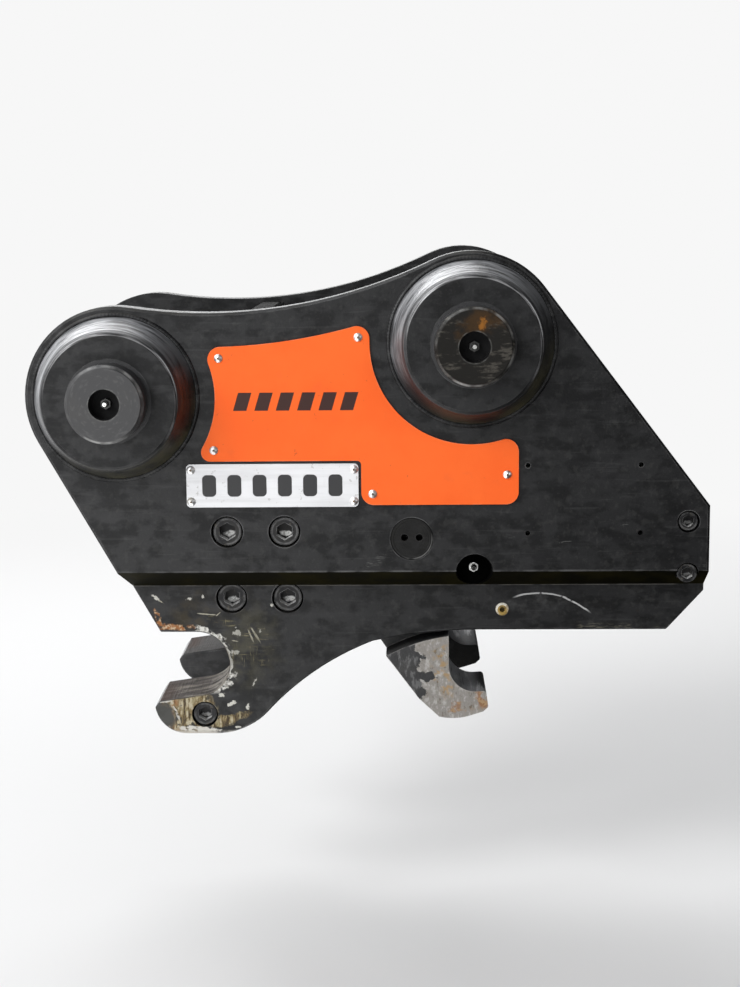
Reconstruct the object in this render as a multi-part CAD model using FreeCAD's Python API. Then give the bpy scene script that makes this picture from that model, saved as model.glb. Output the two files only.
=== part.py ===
import FreeCAD, Part
import math
import os
from FreeCAD import Vector

os.makedirs("parts", exist_ok=True)

# Hydraulic quick coupler. Millimetres. +X runs to the rear, movable hook, +Y away from the working
# face, +Z up. The origin is the axis of the fixed jaw's seat, midway between the side plates.

# --- Machine interface: two pins between the ears -------------------------------------------
PIN_D = 80.0                 # arm pin, link pin and the bucket pins
ARM_PIN_X = -86.0            # arm pin, above the fixed jaw
ARM_PIN_Z = 337.5
LINK_PIN_X = 340.5           # link pin, above the movable hook
LINK_PIN_Z = 400.5
PIN_RUN = 0.05               # radial clearance of a pin in its bush
PIN_HEAD_D = 92.5
PIN_HEAD_T = 34.0
HEAD_BEVEL = 4.0
NIPPLE_POCKET_D = 36.0
NIPPLE_POCKET_DEPTH = 20.0
COLLAR_D = 118.0
COLLAR_T = 30.0
COLLAR_BOLT_D = 16.0

# --- Ear plates, bosses and bushes ----------------------------------------------------------
HOOK_W = 330.0               # over the hook plates, what passes between a bucket's ears
EAR_T = 38.0
ARM_LAND = 11.0              # ear left round the boss at the arm pin
LINK_LAND = 9.5              # and at the link pin
SADDLE_R = 620.0             # hollow top edge between the two rounds
EAR_FOOT_Z = 100.0           # where the ear's bevelled foot meets the hook plate
FOOT_BEVEL_Z = 24.0
EAR_EDGE = 3.0               # broken outer edge
REAR_X = 625.0               # rear end of both plates
REAR_SHOULDER_Z = 203.0      # where the rear slope turns down into the rear end
BOSS_BASE_D = 196.0
BOSS_FACE_D = 160.0
BOSS_H = 46.0
BOSS_EDGE = 2.5
BUSH_WALL = 10.0
NOTCH_D = 44.0               # notch in the ear's foot over the hook pivot's grease nipple
TAPPED_D = 6.0               # accessory holes on the ear
TAPPED_DEPTH = 18.0
TAPPED_X = 474.5
TAPPED_Z = 211.8
TAPPED_DX = 134.6
TAPPED_DZ = 82.4

# --- Hook plates and the fixed jaw ----------------------------------------------------------
HOOK_PLATE_T = 40.0
HOOK_TOP_Z = 200.0
BELLY_Z = 42.5               # flat underside that the rear bucket pin is pressed against
BELLY_X0 = 352.0             # the underside falls away in a long arc ahead of here
BELLY_X1 = 580.0
BELLY_ARC_R = 640.0
TAIL_Z = 92.0
CUSP_X = 219.6
CUSP_ROUND = 5.0
SWEEP_R = 350.0              # hollow between the belly and the fixed hook
HEEL_X = 92.0
HEEL_Z = -57.0
SOLE_Z = -90.0
SOLE_X0 = -15.0
SOLE_X1 = 22.0
NOSE_X = -54.0
NOSE_Z = -56.0
JAW_PLAY = 0.6               # radial room of a bucket pin in the fixed jaw
LIP_TAPER = 8.4              # the lower lip falls away towards the mouth, degrees
LIP_X = -48.0
LIP_TIP_X = -44.0            # upper lip
JAW_BLOCK_T = 55.0
JAW_BLOCK_TOP = 60.0
JAW_BLOCK_REAR = 190.0
JAW_BOLT_X = 8.3
JAW_BOLT_Z = -65.0
JAW_EDGE = 2.0

# --- Cross members --------------------------------------------------------------------------
FRONT_BLOCK_X0 = 18.0
FRONT_BLOCK_X1 = 142.0
BLOCK_BOLT_X = 79.6          # centre of the four-bolt rectangle
BLOCK_BOLT_Z = 128.7
BLOCK_BOLT_DX = 69.4
BLOCK_BOLT_DZ = 90.0
REAR_BLOCK_X0 = 580.0
REAR_BLOCK_X1 = 618.0
REAR_BOLT_X = 599.3
REAR_BOLT_Z = 152.1
REAR_BOLT_DZ = 63.5
FRONT_SADDLE_R = 178.0       # swing room of the arm's end
REAR_SADDLE_R = 140.0        # swing room of the link's end
SADDLE_T = 20.0
SADDLE_SINK = 8.0            # how far the saddles stop below the ears' top edge
STOP_X = 268.0
STOP_Z = 164.4
STOP_D = 52.0
STOP_TAP_D = 8.5
STOP_TAP_GAP = 17.7
STOP_TAP_OFF = 1.5           # the pair sits this far off the shaft's centre
STOP_PLAY = 0.6              # room left between shaft and lever at the end of the closing swing

# --- Movable hook, shown at rest ------------------------------------------------------------
PIVOT_X = 343.5
PIVOT_Z = 123.0
PIVOT_D = 70.0
PIVOT_WEB = 12.0             # hook plate left outside the blind pivot bore
HUB_D = 116.0
HUB_BUSH_WALL = 7.5
HUB_MID_D = 98.0             # turned down between the lever's lugs to clear the rod eye
HUB_SIDE = 3.0               # room between hub and hook plate
WASHER_T = 2.6
HOOK_SIDE = 1.0              # the claw stands this far inside the hook plates' faces
CLAW_BACK_X = 313.2
CLAW_TOP_Z = 34.2
CLAW_CORNER_R = 33.0
CLAW_SEAT_Z = -36.5
CLAW_NOSE_X = 361.0
CLAW_NOSE_Z = -56.0
CLAW_SOLE_Z = -70.5
CLAW_SHOULDER_X = 235.6
CLAW_SHOULDER_Z = 9.3
CLAW_SHOULDER_R = 218.0
NECK_TOE_X = 10.5             # how far the cheeks' front root stands before the claw's shoulder
NECK_TOE_Z = 16.0             # and above it
NECK_WEB_T = 22.0
CLOSING_SWING = 22.0         # degrees from rest to the end stop
LEVER_R = 85.0               # pivot to rod pin
LEVER_ROOT_D = 80.0
LEVER_EYE_D = 60.0
LEVER_T = 28.0
ROD_PIN_D = 32.0
ROD_PIN_END = 9.0
CLIP_T = 2.5
CLIP_H = 4.0

# --- Hydraulic cylinder ---------------------------------------------------------------------
BARREL_PIN_X = 572.0
BARREL_PIN_Z = 150.0
BORE_D = 70.0
BARREL_WALL = 10.0
ROD_D = 40.0
BASE_EYE_D = 56.0
BASE_EYE_T = 56.0
BASE_BUSH_WALL = 4.0
CLEVIS_T = 25.0
CLEVIS_GAP = 0.5
END_CAP_FACE = 52.0          # all of these run along the cylinder from the barrel pin
CAP_SEAT = 45.0
GLAND_IN = 127.0
GLAND_SEAT = 145.0
GLAND_END = 160.0
PISTON_BACK = 65.5
PISTON_T = 26.0
PISTON_GAP = 0.15
ROD_RUN = 0.05
SPIGOT_D = 30.0
ROD_EYE_D = 56.0
ROD_EYE_T = 50.0
ROD_EYE_OPEN = 1.70          # the rod eye's extra radius round its pin
WIPER_D = 54.0
WIPER_T = 6.0
PORT_D = 11.4
PORT_DEPTH = 12.0
PORT_RELIEF = 2.0            # undercut behind the port's thread
PORT_Y = 10.0
OIL_WAY_D = 8.4
VALVE_L = 66.0
VALVE_W = 60.0
VALVE_H = 38.0
VALVE_U = 92.0
VALVE_PAD = 4.0              # the welded pad under the valve stands this far above the barrel
VALVE_SCREW_D = 8.0
VALVE_SCREW_EDGE = 7.0
VALVE_SCREW_GRIP = 10.0

# --- Screws, nipples, plates ----------------------------------------------------------------
M24 = 24.0
M20 = 20.0
M16 = 16.0
HEAD_PLAY = 1.5              # radial room of a screw head in its counterbore
HEAD_SINK = 4.0              # how far a head lies below the plate's face
HOLE_PLAY = 1.0
SCREW_GRIP = 45.0            # thread in the cross members
NIPPLE_HEX = 11.0
NIPPLE_H = 15.0
PLUG_D = 16.0
PLUG_X = 379.0
PLUG_Z = 68.7
BADGE_T = 3.0
BADGE_GAP = 12.0             # badge edge to the bosses' bases, and to the ears' rounds
BADGE_FOOT_Z = 206.5
PLATE_GAP = 3.5              # between the badge and the number plate
BADGE_REAR_X = 396.0
BADGE_TOP_GAP = 40.0         # below the ears' hollow top edge
BADGE_CORNER = 15.0
BADGE_RIVET_IN = 13.5        # rivets this far inside the badge's edges
BADGE_RIVET_UP = 36.0        # and the rear one this far above its foot
RIVET_D = 10.4
RIVET_H = 3.2
NUMBER_L = 207.0
NUMBER_H = 52.4
NUMBER_T = 2.0
NUMBER_X = 100.9
NUMBER_Z = 230.6
NUMBER_CORNER = 5.0

# --- Places that follow from the sizes above ------------------------------------------------
HOOK_FACE = HOOK_W / 2
EAR_FACE = HOOK_FACE + EAR_T
BOSS_FACE = EAR_FACE + BOSS_H
HOOK_INNER = HOOK_FACE - HOOK_PLATE_T
PRONG_INNER = HOOK_INNER - JAW_BLOCK_T
SEAT_R = PIN_D / 2 + JAW_PLAY
EAR_ARM_R = BOSS_BASE_D / 2 + ARM_LAND
EAR_LINK_R = BOSS_BASE_D / 2 + LINK_LAND
ARM = (ARM_PIN_X, ARM_PIN_Z)
LINK = (LINK_PIN_X, LINK_PIN_Z)
PIVOT = (PIVOT_X, PIVOT_Z)
ROD_PIN = (PIVOT_X, PIVOT_Z + LEVER_R)
BARREL_PIN = (BARREL_PIN_X, BARREL_PIN_Z)


# --- Small geometry helpers -----------------------------------------------------------------
def polar(c, r, deg):
    a = math.radians(deg)
    return (c[0] + r * math.cos(a), c[1] + r * math.sin(a))


def angle(c, p):
    return math.degrees(math.atan2(p[1] - c[1], p[0] - c[0]))


def touch(p, c, r, side):
    """Point where the line from p touches the circle round c; side +1 turns left of the centre."""
    d = math.dist(p, c)
    half = math.degrees(math.asin(r / d))
    return polar(p, math.sqrt(d * d - r * r), angle(p, c) + side * half)


def along(a, b, z):
    """Point of the line a-b at height z."""
    t = (z - a[1]) / (b[1] - a[1])
    return (a[0] + t * (b[0] - a[0]), z)


def arc_about(c, a, b, turn):
    """Arc step from a to b round c; turn +1 is anticlockwise seen from the front."""
    a0, b0 = angle(c, a), angle(c, b)
    sweep = ((b0 - a0) * turn) % 360.0
    return ("arc", polar(c, math.dist(c, a), a0 + turn * sweep / 2), b)


def arc_off_flat(flat, p, end, turn):
    """Arc step to end that touches the horizontal at flat and passes through p."""
    r = ((p[0] - flat[0]) ** 2 + (p[1] - flat[1]) ** 2) / (2 * (p[1] - flat[1]))
    return arc_about((flat[0], flat[1] + r), p if end is flat else flat, end, turn)


def arc_radius(a, b, r, side):
    """Arc step from a to b of radius r, bulging left (+1) or right (-1) of the way."""
    dx, dz = b[0] - a[0], b[1] - a[1]
    half = math.hypot(dx, dz) / 2
    rise = r - math.sqrt(max(r * r - half * half, 0.0))
    mid = ((a[0] + b[0]) / 2, (a[1] + b[1]) / 2)
    return ("arc", (mid[0] - side * rise * dz / (2 * half), mid[1] + side * rise * dx / (2 * half)), b)


def v(p, y=0.0):
    return Vector(p[0], y, p[1])


def outline(start, steps, y):
    edges, here = [], start
    for step in steps:
        if step[0] == "arc":
            edges.append(Part.Arc(v(here, y), v(step[1], y), v(step[2], y)).toShape())
            here = step[2]
        else:
            edges.append(Part.makeLine(v(here, y), v(step, y)))
            here = step
    if math.dist(here, start) > 1e-6:
        edges.append(Part.makeLine(v(here, y), v(start, y)))
    return Part.Wire(edges)


def slab(start, steps, y0, y1):
    return Part.Face(outline(start, steps, y0)).extrude(Vector(0, y1 - y0, 0))


def rod(p, d, y0, y1):
    return Part.makeCylinder(d / 2, y1 - y0, v(p, y0), Vector(0, 1, 0))


def ring(p, d, hole, y0, y1):
    return rod(p, d, y0, y1).cut(rod(p, hole, y0 - 1, y1 + 1))


def brick(x0, x1, y0, y1, z0, z1):
    return Part.makeBox(x1 - x0, y1 - y0, z1 - z0, Vector(x0, y0, z0))


def fuse(shapes):
    return shapes[0].multiFuse(shapes[1:]).removeSplitter() if len(shapes) > 1 else shapes[0]


def far(shape):
    """The same piece on the far side."""
    return shape.mirror(Vector(0, 0, 0), Vector(0, 1, 0))


def save(shape, name):
    shape.exportStep("parts/%s.step" % name)


def save_pair(shape, name):
    save(shape, name + "_near")
    save(far(shape), name + "_far")


def hexagon(p, across, y0, y1):
    r = across / math.sqrt(3)
    pts = [polar(p, r, 30 + 60 * i) for i in range(6)]
    return slab(pts[0], pts[1:], y0, y1)


def edges_at(shape, spots, tol=0.6):
    """Edges along Y at the given (x, z) spots."""
    found = []
    for e in shape.Edges:
        if len(e.Vertexes) == 2:
            a, b = e.Vertexes[0].Point, e.Vertexes[1].Point
            if abs(a.x - b.x) < 1e-4 and abs(a.z - b.z) < 1e-4:
                if any(math.hypot(a.x - s[0], a.z - s[1]) < tol for s in spots):
                    found.append(e)
    return found


def round_corners(shape, corners):
    for spot, r in corners:
        shape = shape.makeFillet(r, edges_at(shape, [spot]))
    return shape


def cap_screw(p, d, seat_y, length):
    """Socket head screw entering from the near side; its head seats at seat_y."""
    head_r = 0.75 * d
    profile = [Vector(0, -d, 0), Vector(head_r - 1, -d, 0), Vector(head_r, 1 - d, 0), Vector(head_r, 0, 0),
               Vector(d / 2, 0, 0), Vector(d / 2, length - 1.5, 0), Vector(d / 2 - 1.5, length, 0),
               Vector(0, length, 0)]
    body = Part.Face(Part.makePolygon(profile + profile[:1])).revolve(Vector(0, 0, 0), Vector(0, 1, 0), 360)
    body.translate(v(p, seat_y))
    return body.cut(hexagon(p, 0.79 * d, seat_y - d - 1, seat_y - 0.45 * d))


def screw_well(p, d, face_y):
    """Counterbore from a face at face_y, deep enough to sink the head."""
    return rod(p, 1.5 * d + 2 * HEAD_PLAY, face_y - 1, face_y + d + HEAD_SINK)


def grease_nipple(p, seat_y, out):
    """Nipple standing on seat_y and pointing along out (-1 near, +1 far)."""
    base = hexagon(p, NIPPLE_HEX, 0, 6)
    profile = [(0, 6), (4, 6), (3.2, 9), (2.3, 10.5), (2.3, 11.5), (3.2, 13), (2.4, NIPPLE_H), (0, NIPPLE_H)]
    pts = [Vector(r, y, 0) for r, y in profile]
    neck = Part.Face(Part.makePolygon(pts + pts[:1])).revolve(Vector(0, 0, 0), Vector(0, 1, 0), 360)
    neck.translate(v(p))
    body = base.fuse(neck)
    if out < 0:
        body = far(body)
    body.translate(Vector(0, seat_y, 0))
    return body


# --- Ear plates: the outer plates that carry the machine's two pins --------------------------
LIP_TIP = (LIP_TIP_X, SEAT_R)
FRONT_TOP = touch(LIP_TIP, ARM, EAR_ARM_R, +1)
REAR_SHOULDER = (REAR_X, REAR_SHOULDER_Z)
SLOPE_TOP = touch(REAR_SHOULDER, LINK, EAR_LINK_R, -1)


def saddle_centre():
    """Centre of the hollow top edge, touching both rounds."""
    ra, rb, d = EAR_ARM_R + SADDLE_R, EAR_LINK_R + SADDLE_R, math.dist(ARM, LINK)
    lean = math.degrees(math.acos((ra * ra + d * d - rb * rb) / (2 * ra * d)))
    return polar(ARM, ra, angle(ARM, LINK) + lean)


SADDLE = saddle_centre()
SADDLE_A = polar(ARM, EAR_ARM_R, angle(ARM, SADDLE))
SADDLE_B = polar(LINK, EAR_LINK_R, angle(LINK, SADDLE))


def top_z(x):
    """Height of the ears' hollow top edge at x."""
    return SADDLE[1] - math.sqrt(SADDLE_R ** 2 - (x - SADDLE[0]) ** 2)


def ear_plate():
    foot = along(LIP_TIP, FRONT_TOP, EAR_FOOT_Z)
    steps = [FRONT_TOP, arc_about(ARM, FRONT_TOP, SADDLE_A, -1), arc_about(SADDLE, SADDLE_A, SADDLE_B, +1),
             arc_about(LINK, SADDLE_B, SLOPE_TOP, -1), REAR_SHOULDER, (REAR_X, EAR_FOOT_Z)]
    plate = slab(foot, steps, -EAR_FACE, -HOOK_FACE)
    rim = [e for e in plate.Edges
           if all(abs(p.Point.y + EAR_FACE) < 1e-4 for p in e.Vertexes)
           and e.BoundBox.ZMax > EAR_FOOT_Z + 1 and e.BoundBox.YLength < 1e-4]
    plate = plate.makeChamfer(EAR_EDGE, rim)
    x0, low = ARM_PIN_X - 2 * EAR_ARM_R, EAR_FOOT_Z - FOOT_BEVEL_Z
    bevel = [Vector(x0, -EAR_FACE - 1, EAR_FOOT_Z + FOOT_BEVEL_Z * (1 + 1 / EAR_T)),
             Vector(x0, -HOOK_FACE, EAR_FOOT_Z), Vector(x0, -HOOK_FACE, low), Vector(x0, -EAR_FACE - 1, low)]
    beyond = Vector(REAR_X + EAR_ARM_R - x0, 0, 0)
    plate = plate.cut(Part.Face(Part.makePolygon(bevel + bevel[:1])).extrude(beyond))
    cuts = [rod(c, PIN_D + 2 * BUSH_WALL, -EAR_FACE - 1, -HOOK_FACE + 1) for c in (ARM, LINK)]
    cuts.append(rod(PIVOT, NOTCH_D, -EAR_FACE - 1, -HOOK_FACE + 1))
    cuts.append(rod((STOP_X, STOP_Z), STOP_D, -EAR_FACE - 1, -HOOK_FACE + 1))
    for p in BLOCK_BOLTS_TOP:
        cuts += [screw_well(p, M24, -EAR_FACE), rod(p, M24 + 2 * HOLE_PLAY, -EAR_FACE, -HOOK_FACE + 1)]
    for p in REAR_BOLTS:
        cuts += [screw_well(p, M16, -EAR_FACE), rod(p, M16 + 2 * HOLE_PLAY, -EAR_FACE, -HOOK_FACE + 1)]
    for p in TAPPED:
        cuts.append(rod(p, TAPPED_D, -EAR_FACE - 1, -EAR_FACE + TAPPED_DEPTH))
    return plate.cut(Part.makeCompound(cuts))


BLOCK_BOLTS_TOP = [(BLOCK_BOLT_X + s * BLOCK_BOLT_DX / 2, BLOCK_BOLT_Z + BLOCK_BOLT_DZ / 2) for s in (-1, 1)]
BLOCK_BOLTS_LOW = [(BLOCK_BOLT_X + s * BLOCK_BOLT_DX / 2, BLOCK_BOLT_Z - BLOCK_BOLT_DZ / 2) for s in (-1, 1)]
REAR_BOLTS = [(REAR_BOLT_X, REAR_BOLT_Z + s * REAR_BOLT_DZ / 2) for s in (-1, 1)]
TAPPED = [(TAPPED_X + s * TAPPED_DX / 2, TAPPED_Z + t * TAPPED_DZ / 2) for s in (-1, 1) for t in (-1, 1)]
JAW_BOLT = (JAW_BOLT_X, JAW_BOLT_Z)

save_pair(ear_plate(), "ear_plate")


# --- Bosses, bushes, pins and collars: the same set at the arm pin and at the link pin --------
def boss():
    """Cone turned from bar, welded to the ear, with a broken outer edge."""
    base, face, hole = BOSS_BASE_D / 2, BOSS_FACE_D / 2, PIN_D / 2 + BUSH_WALL
    pts = [Vector(hole, 0, 0), Vector(base, 0, 0), Vector(face + BOSS_EDGE / 2, BOSS_EDGE - BOSS_H, 0),
           Vector(face - BOSS_EDGE, -BOSS_H, 0), Vector(hole, -BOSS_H, 0)]
    return Part.Face(Part.makePolygon(pts + pts[:1])).revolve(Vector(0, 0, 0), Vector(0, 1, 0), 360)


def headed_pin(c):
    """Pin pushed in from the near side, its head against the boss, greased through the head."""
    end = BOSS_FACE + COLLAR_T + 6
    r, h = PIN_D / 2, PIN_HEAD_D / 2
    head = -BOSS_FACE - PIN_HEAD_T
    pts = [Vector(0, head, 0), Vector(h - HEAD_BEVEL, head, 0), Vector(h, head + HEAD_BEVEL, 0),
           Vector(h, -BOSS_FACE, 0), Vector(r, -BOSS_FACE, 0), Vector(r, end - 4, 0), Vector(r - 4, end, 0),
           Vector(0, end, 0)]
    pin = Part.Face(Part.makePolygon(pts + pts[:1])).revolve(Vector(0, 0, 0), Vector(0, 1, 0), 360)
    pin.translate(v(c))
    pin = pin.cut(rod(c, NIPPLE_POCKET_D, head - 1, head + NIPPLE_POCKET_DEPTH))
    return pin.cut(cross_hole(c))


def cross_hole(c):
    y = BOSS_FACE + COLLAR_T / 2
    return Part.makeCylinder(COLLAR_BOLT_D / 2, COLLAR_D * 2, Vector(c[0], y, c[1] - COLLAR_D),
                             Vector(0, 0, 1))


def pin_collar(c):
    whole = ring(c, COLLAR_D, PIN_D + 2 * PIN_RUN, BOSS_FACE, BOSS_FACE + COLLAR_T)
    rim = [e for e in whole.Edges if e.BoundBox.XLength > COLLAR_D - 1 and e.BoundBox.YLength < 1e-4]
    return whole.makeChamfer(3.0, rim).cut(cross_hole(c))


def collar_bolt(c):
    """Through bolt with its nut, holding the collar to the pin."""
    y, reach = BOSS_FACE + COLLAR_T / 2, COLLAR_D / 2
    shank = Part.makeCylinder(COLLAR_BOLT_D / 2, 2 * reach + 22, Vector(c[0], y, c[1] - reach - 18),
                              Vector(0, 0, 1))
    pieces = [shank]
    for z0, z1 in ((c[1] + reach - 1.0, c[1] + reach + 9), (c[1] - reach - 13, c[1] - reach + 1.0)):
        pts = [Vector(c[0], y, z0) + Vector(0.9 * COLLAR_BOLT_D * math.cos(math.radians(60 * i)),
                                            0.9 * COLLAR_BOLT_D * math.sin(math.radians(60 * i)), 0)
               for i in range(6)]
        pieces.append(Part.Face(Part.makePolygon(pts + pts[:1])).extrude(Vector(0, 0, z1 - z0)))
    return fuse(pieces).cut(ring(c, COLLAR_D, PIN_D, BOSS_FACE, BOSS_FACE + COLLAR_T)
                            .cut(cross_hole(c)))


for name, centre in (("arm", ARM), ("link", LINK)):
    cone = boss()
    cone.translate(v(centre, -EAR_FACE))
    save_pair(cone, name + "_boss")
    save_pair(ring(centre, PIN_D + 2 * BUSH_WALL, PIN_D + 2 * PIN_RUN, -BOSS_FACE, -HOOK_FACE),
              name + "_bush")
    save(headed_pin(centre), name + "_pin")
    save(pin_collar(centre), name + "_pin_collar")
save(Part.makeCompound([collar_bolt(c) for c in (ARM, LINK)]), "pin_collar_bolts")
pocket_floor = -BOSS_FACE - PIN_HEAD_T + NIPPLE_POCKET_DEPTH
save(Part.makeCompound([grease_nipple(c, pocket_floor, -1) for c in (ARM, LINK)]), "pin_nipples")


# --- Hook plates: the inner plates with the fixed hook ---------------------------------------
def hook_outline(y0, y1):
    cusp_z = BELLY_Z - BELLY_ARC_R + math.sqrt(BELLY_ARC_R ** 2 - (BELLY_X0 - CUSP_X) ** 2)
    cusp, heel = (CUSP_X, cusp_z), (HEEL_X, HEEL_Z)
    sole = [(SOLE_X0, SOLE_Z), (SOLE_X1, SOLE_Z)]
    lip_root = polar((0, 0), SEAT_R, LIP_TAPER - 90)
    lip = (LIP_X, lip_root[1] + math.tan(math.radians(LIP_TAPER)) * (LIP_X - lip_root[0]))
    steps = [(REAR_X, HOOK_TOP_Z), (REAR_X, TAIL_Z), (BELLY_X1, BELLY_Z), (BELLY_X0, BELLY_Z),
             arc_about((BELLY_X0, BELLY_Z - BELLY_ARC_R), (BELLY_X0, BELLY_Z), cusp, +1),
             arc_radius(cusp, heel, SWEEP_R, -1), arc_off_flat(sole[1], heel, sole[1], -1), sole[0],
             arc_off_flat(sole[0], (NOSE_X, NOSE_Z), (NOSE_X, NOSE_Z), -1), lip,
             lip_root, arc_about((0, 0), lip_root, (0, SEAT_R), +1), LIP_TIP]
    return round_corners(slab(along(LIP_TIP, FRONT_TOP, HOOK_TOP_Z), steps, y0, y1), [(cusp, CUSP_ROUND)])


def break_edges(shape, y, zmax, size):
    """Bevels the edges of a face at y that lie below zmax."""
    rim = [e for e in shape.Edges
           if e.BoundBox.YLength < 1e-4 and abs(e.BoundBox.YMin - y) < 1e-4 and e.BoundBox.ZMax < zmax]
    return shape.makeChamfer(size, rim)


def hook_plate():
    plate = break_edges(hook_outline(-HOOK_FACE, -HOOK_INNER), -HOOK_FACE, BELLY_Z + 0.5, JAW_EDGE)
    cuts = [rod(PIVOT, PIVOT_D, -HOOK_FACE + PIVOT_WEB, -HOOK_INNER + 1),
            rod(PIVOT, 8.0, -HOOK_FACE - 1, -HOOK_INNER),
            rod((STOP_X, STOP_Z), STOP_D, -HOOK_FACE - 1, -HOOK_INNER + 1),
            screw_well(JAW_BOLT, M20, -HOOK_FACE),
            rod((PLUG_X, PLUG_Z), PLUG_D, -HOOK_FACE - 1, -HOOK_FACE + 14)]
    for p, d in [(q, M24) for q in BLOCK_BOLTS_TOP + BLOCK_BOLTS_LOW] + [(q, M16) for q in REAR_BOLTS] \
            + [(JAW_BOLT, M20)]:
        cuts.append(rod(p, d + 2 * HOLE_PLAY, -HOOK_FACE - 1, -HOOK_INNER + 1))
    cuts += [screw_well(p, M24, -HOOK_FACE) for p in BLOCK_BOLTS_LOW]
    return plate.cut(Part.makeCompound(cuts))


def jaw_block():
    """Inner half of the fixed hook, bolted to the hook plate and standing under the front block."""
    body = hook_outline(-HOOK_INNER, -PRONG_INNER)
    body = body.common(brick(2 * NOSE_X, JAW_BLOCK_REAR, -HOOK_FACE, 0, 2 * SOLE_Z, JAW_BLOCK_TOP))
    body = break_edges(body, -PRONG_INNER, JAW_BLOCK_TOP - 1, JAW_EDGE)
    return body.cut(rod(JAW_BOLT, M20, -HOOK_INNER - 1, -HOOK_INNER + SCREW_GRIP + 2))


save_pair(hook_plate(), "hook_plate")
save_pair(jaw_block(), "jaw_block")


# --- Cross members that tie the two sides together -------------------------------------------
def front_block():
    body = brick(FRONT_BLOCK_X0, FRONT_BLOCK_X1, -HOOK_INNER, HOOK_INNER, JAW_BLOCK_TOP, HOOK_TOP_Z)
    long_edges = [e for e in body.Edges if e.BoundBox.YLength > 2 * HOOK_INNER - 1]
    body = body.makeChamfer(6.0, long_edges)
    cuts = []
    for p in BLOCK_BOLTS_TOP + BLOCK_BOLTS_LOW:
        hole = rod(p, M24, -HOOK_INNER - 1, -HOOK_INNER + SCREW_GRIP + 3)
        cuts += [hole, far(hole)]
    return body.cut(Part.makeCompound(cuts))


def rear_block():
    """Rear cross member with the clevis that holds the cylinder's base."""
    lug_in = BASE_EYE_T / 2 + CLEVIS_GAP
    lug_out = lug_in + CLEVIS_T
    body = brick(REAR_BLOCK_X0, REAR_BLOCK_X1, -HOOK_INNER, HOOK_INNER, EAR_FOOT_Z, HOOK_TOP_Z)
    ends = [e for e in body.Edges if e.BoundBox.YLength > 2 * HOOK_INNER - 1]
    body = body.makeChamfer(4.0, ends)
    r = BASE_EYE_D / 2
    lug = fuse([rod(BARREL_PIN, BASE_EYE_D, lug_in, lug_out),
                brick(BARREL_PIN_X, REAR_BLOCK_X0 + 5, lug_in, lug_out, BARREL_PIN_Z - r, BARREL_PIN_Z + r)])
    body = fuse([body, lug, far(lug)])
    cuts = [rod(BARREL_PIN, BASE_EYE_D + 4, -lug_in, lug_in),
            rod(BARREL_PIN, ROD_PIN_D, -lug_out - 1, lug_out + 1)]
    end_room = rod(BARREL_PIN, ROD_PIN_D + 2 * CLIP_H + 6, lug_out, lug_out + ROD_PIN_END + 6)
    cuts += [end_room, far(end_room)]
    for p in REAR_BOLTS:
        hole = rod(p, M16, -HOOK_INNER - 1, -HOOK_INNER + SCREW_GRIP)
        cuts += [hole, far(hole)]
    return body.cut(Part.makeCompound(cuts))


def front_saddle():
    """Curved cross plate standing round the swing of the arm's end."""
    inner, outer = FRONT_SADDLE_R, FRONT_SADDLE_R + SADDLE_T
    rise = top_z(ARM_PIN_X + inner) - SADDLE_SINK - ARM_PIN_Z
    drop = HOOK_TOP_Z - ARM_PIN_Z

    def at(r, h):
        return (ARM_PIN_X + math.sqrt(r * r - h * h), ARM_PIN_Z + h)
    steps = [arc_about(ARM, at(inner, drop), at(inner, rise), +1), at(outer, rise),
             arc_about(ARM, at(outer, rise), at(outer, drop), -1)]
    return slab(at(inner, drop), steps, -HOOK_FACE, HOOK_FACE)


def rear_saddle():
    """Cross plate that curves round the swing of the link's end and runs straight down."""
    inner, outer = REAR_SADDLE_R, REAR_SADDLE_R + SADDLE_T
    top = top_z(LINK_PIN_X - outer) - SADDLE_SINK - LINK_PIN_Z
    lean = 190.0
    a, b = polar(LINK, inner, lean), polar(LINK, outer, lean)
    slope = math.tan(math.radians(lean - 180.0))
    foot_a = (a[0] + slope * (a[1] - HOOK_TOP_Z), HOOK_TOP_Z)
    foot_b = (b[0] + slope * (b[1] - HOOK_TOP_Z), HOOK_TOP_Z)

    def at(r, h):
        return (LINK_PIN_X - math.sqrt(r * r - h * h), LINK_PIN_Z + h)
    steps = [arc_about(LINK, at(inner, top), a, +1), foot_a, foot_b, b,
             arc_about(LINK, b, at(outer, top), -1)]
    return slab(at(inner, top), steps, -HOOK_FACE, HOOK_FACE)


def stop_shaft():
    """Shaft right across, the end stop of the hook's lever, with two tapped holes in each end."""
    body = rod((STOP_X, STOP_Z), STOP_D, -EAR_FACE, EAR_FACE)
    body = body.makeChamfer(1.5, [e for e in body.Edges if e.BoundBox.YLength < 1e-4])
    for s in (-1, 1):
        x = STOP_X + s * STOP_TAP_GAP / 2
        body = body.cut(rod((x, STOP_Z + STOP_TAP_OFF), STOP_TAP_D, -EAR_FACE - 1, -EAR_FACE + 22))
        body = body.cut(far(rod((x, STOP_Z - STOP_TAP_OFF), STOP_TAP_D, -EAR_FACE - 1, -EAR_FACE + 22)))
    return body


save(front_block(), "front_cross_block")
save(rear_block(), "rear_cross_block")
save(front_saddle(), "front_saddle_plate")
save(rear_saddle(), "rear_saddle_plate")
save(stop_shaft(), "hook_stop_shaft")


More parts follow.
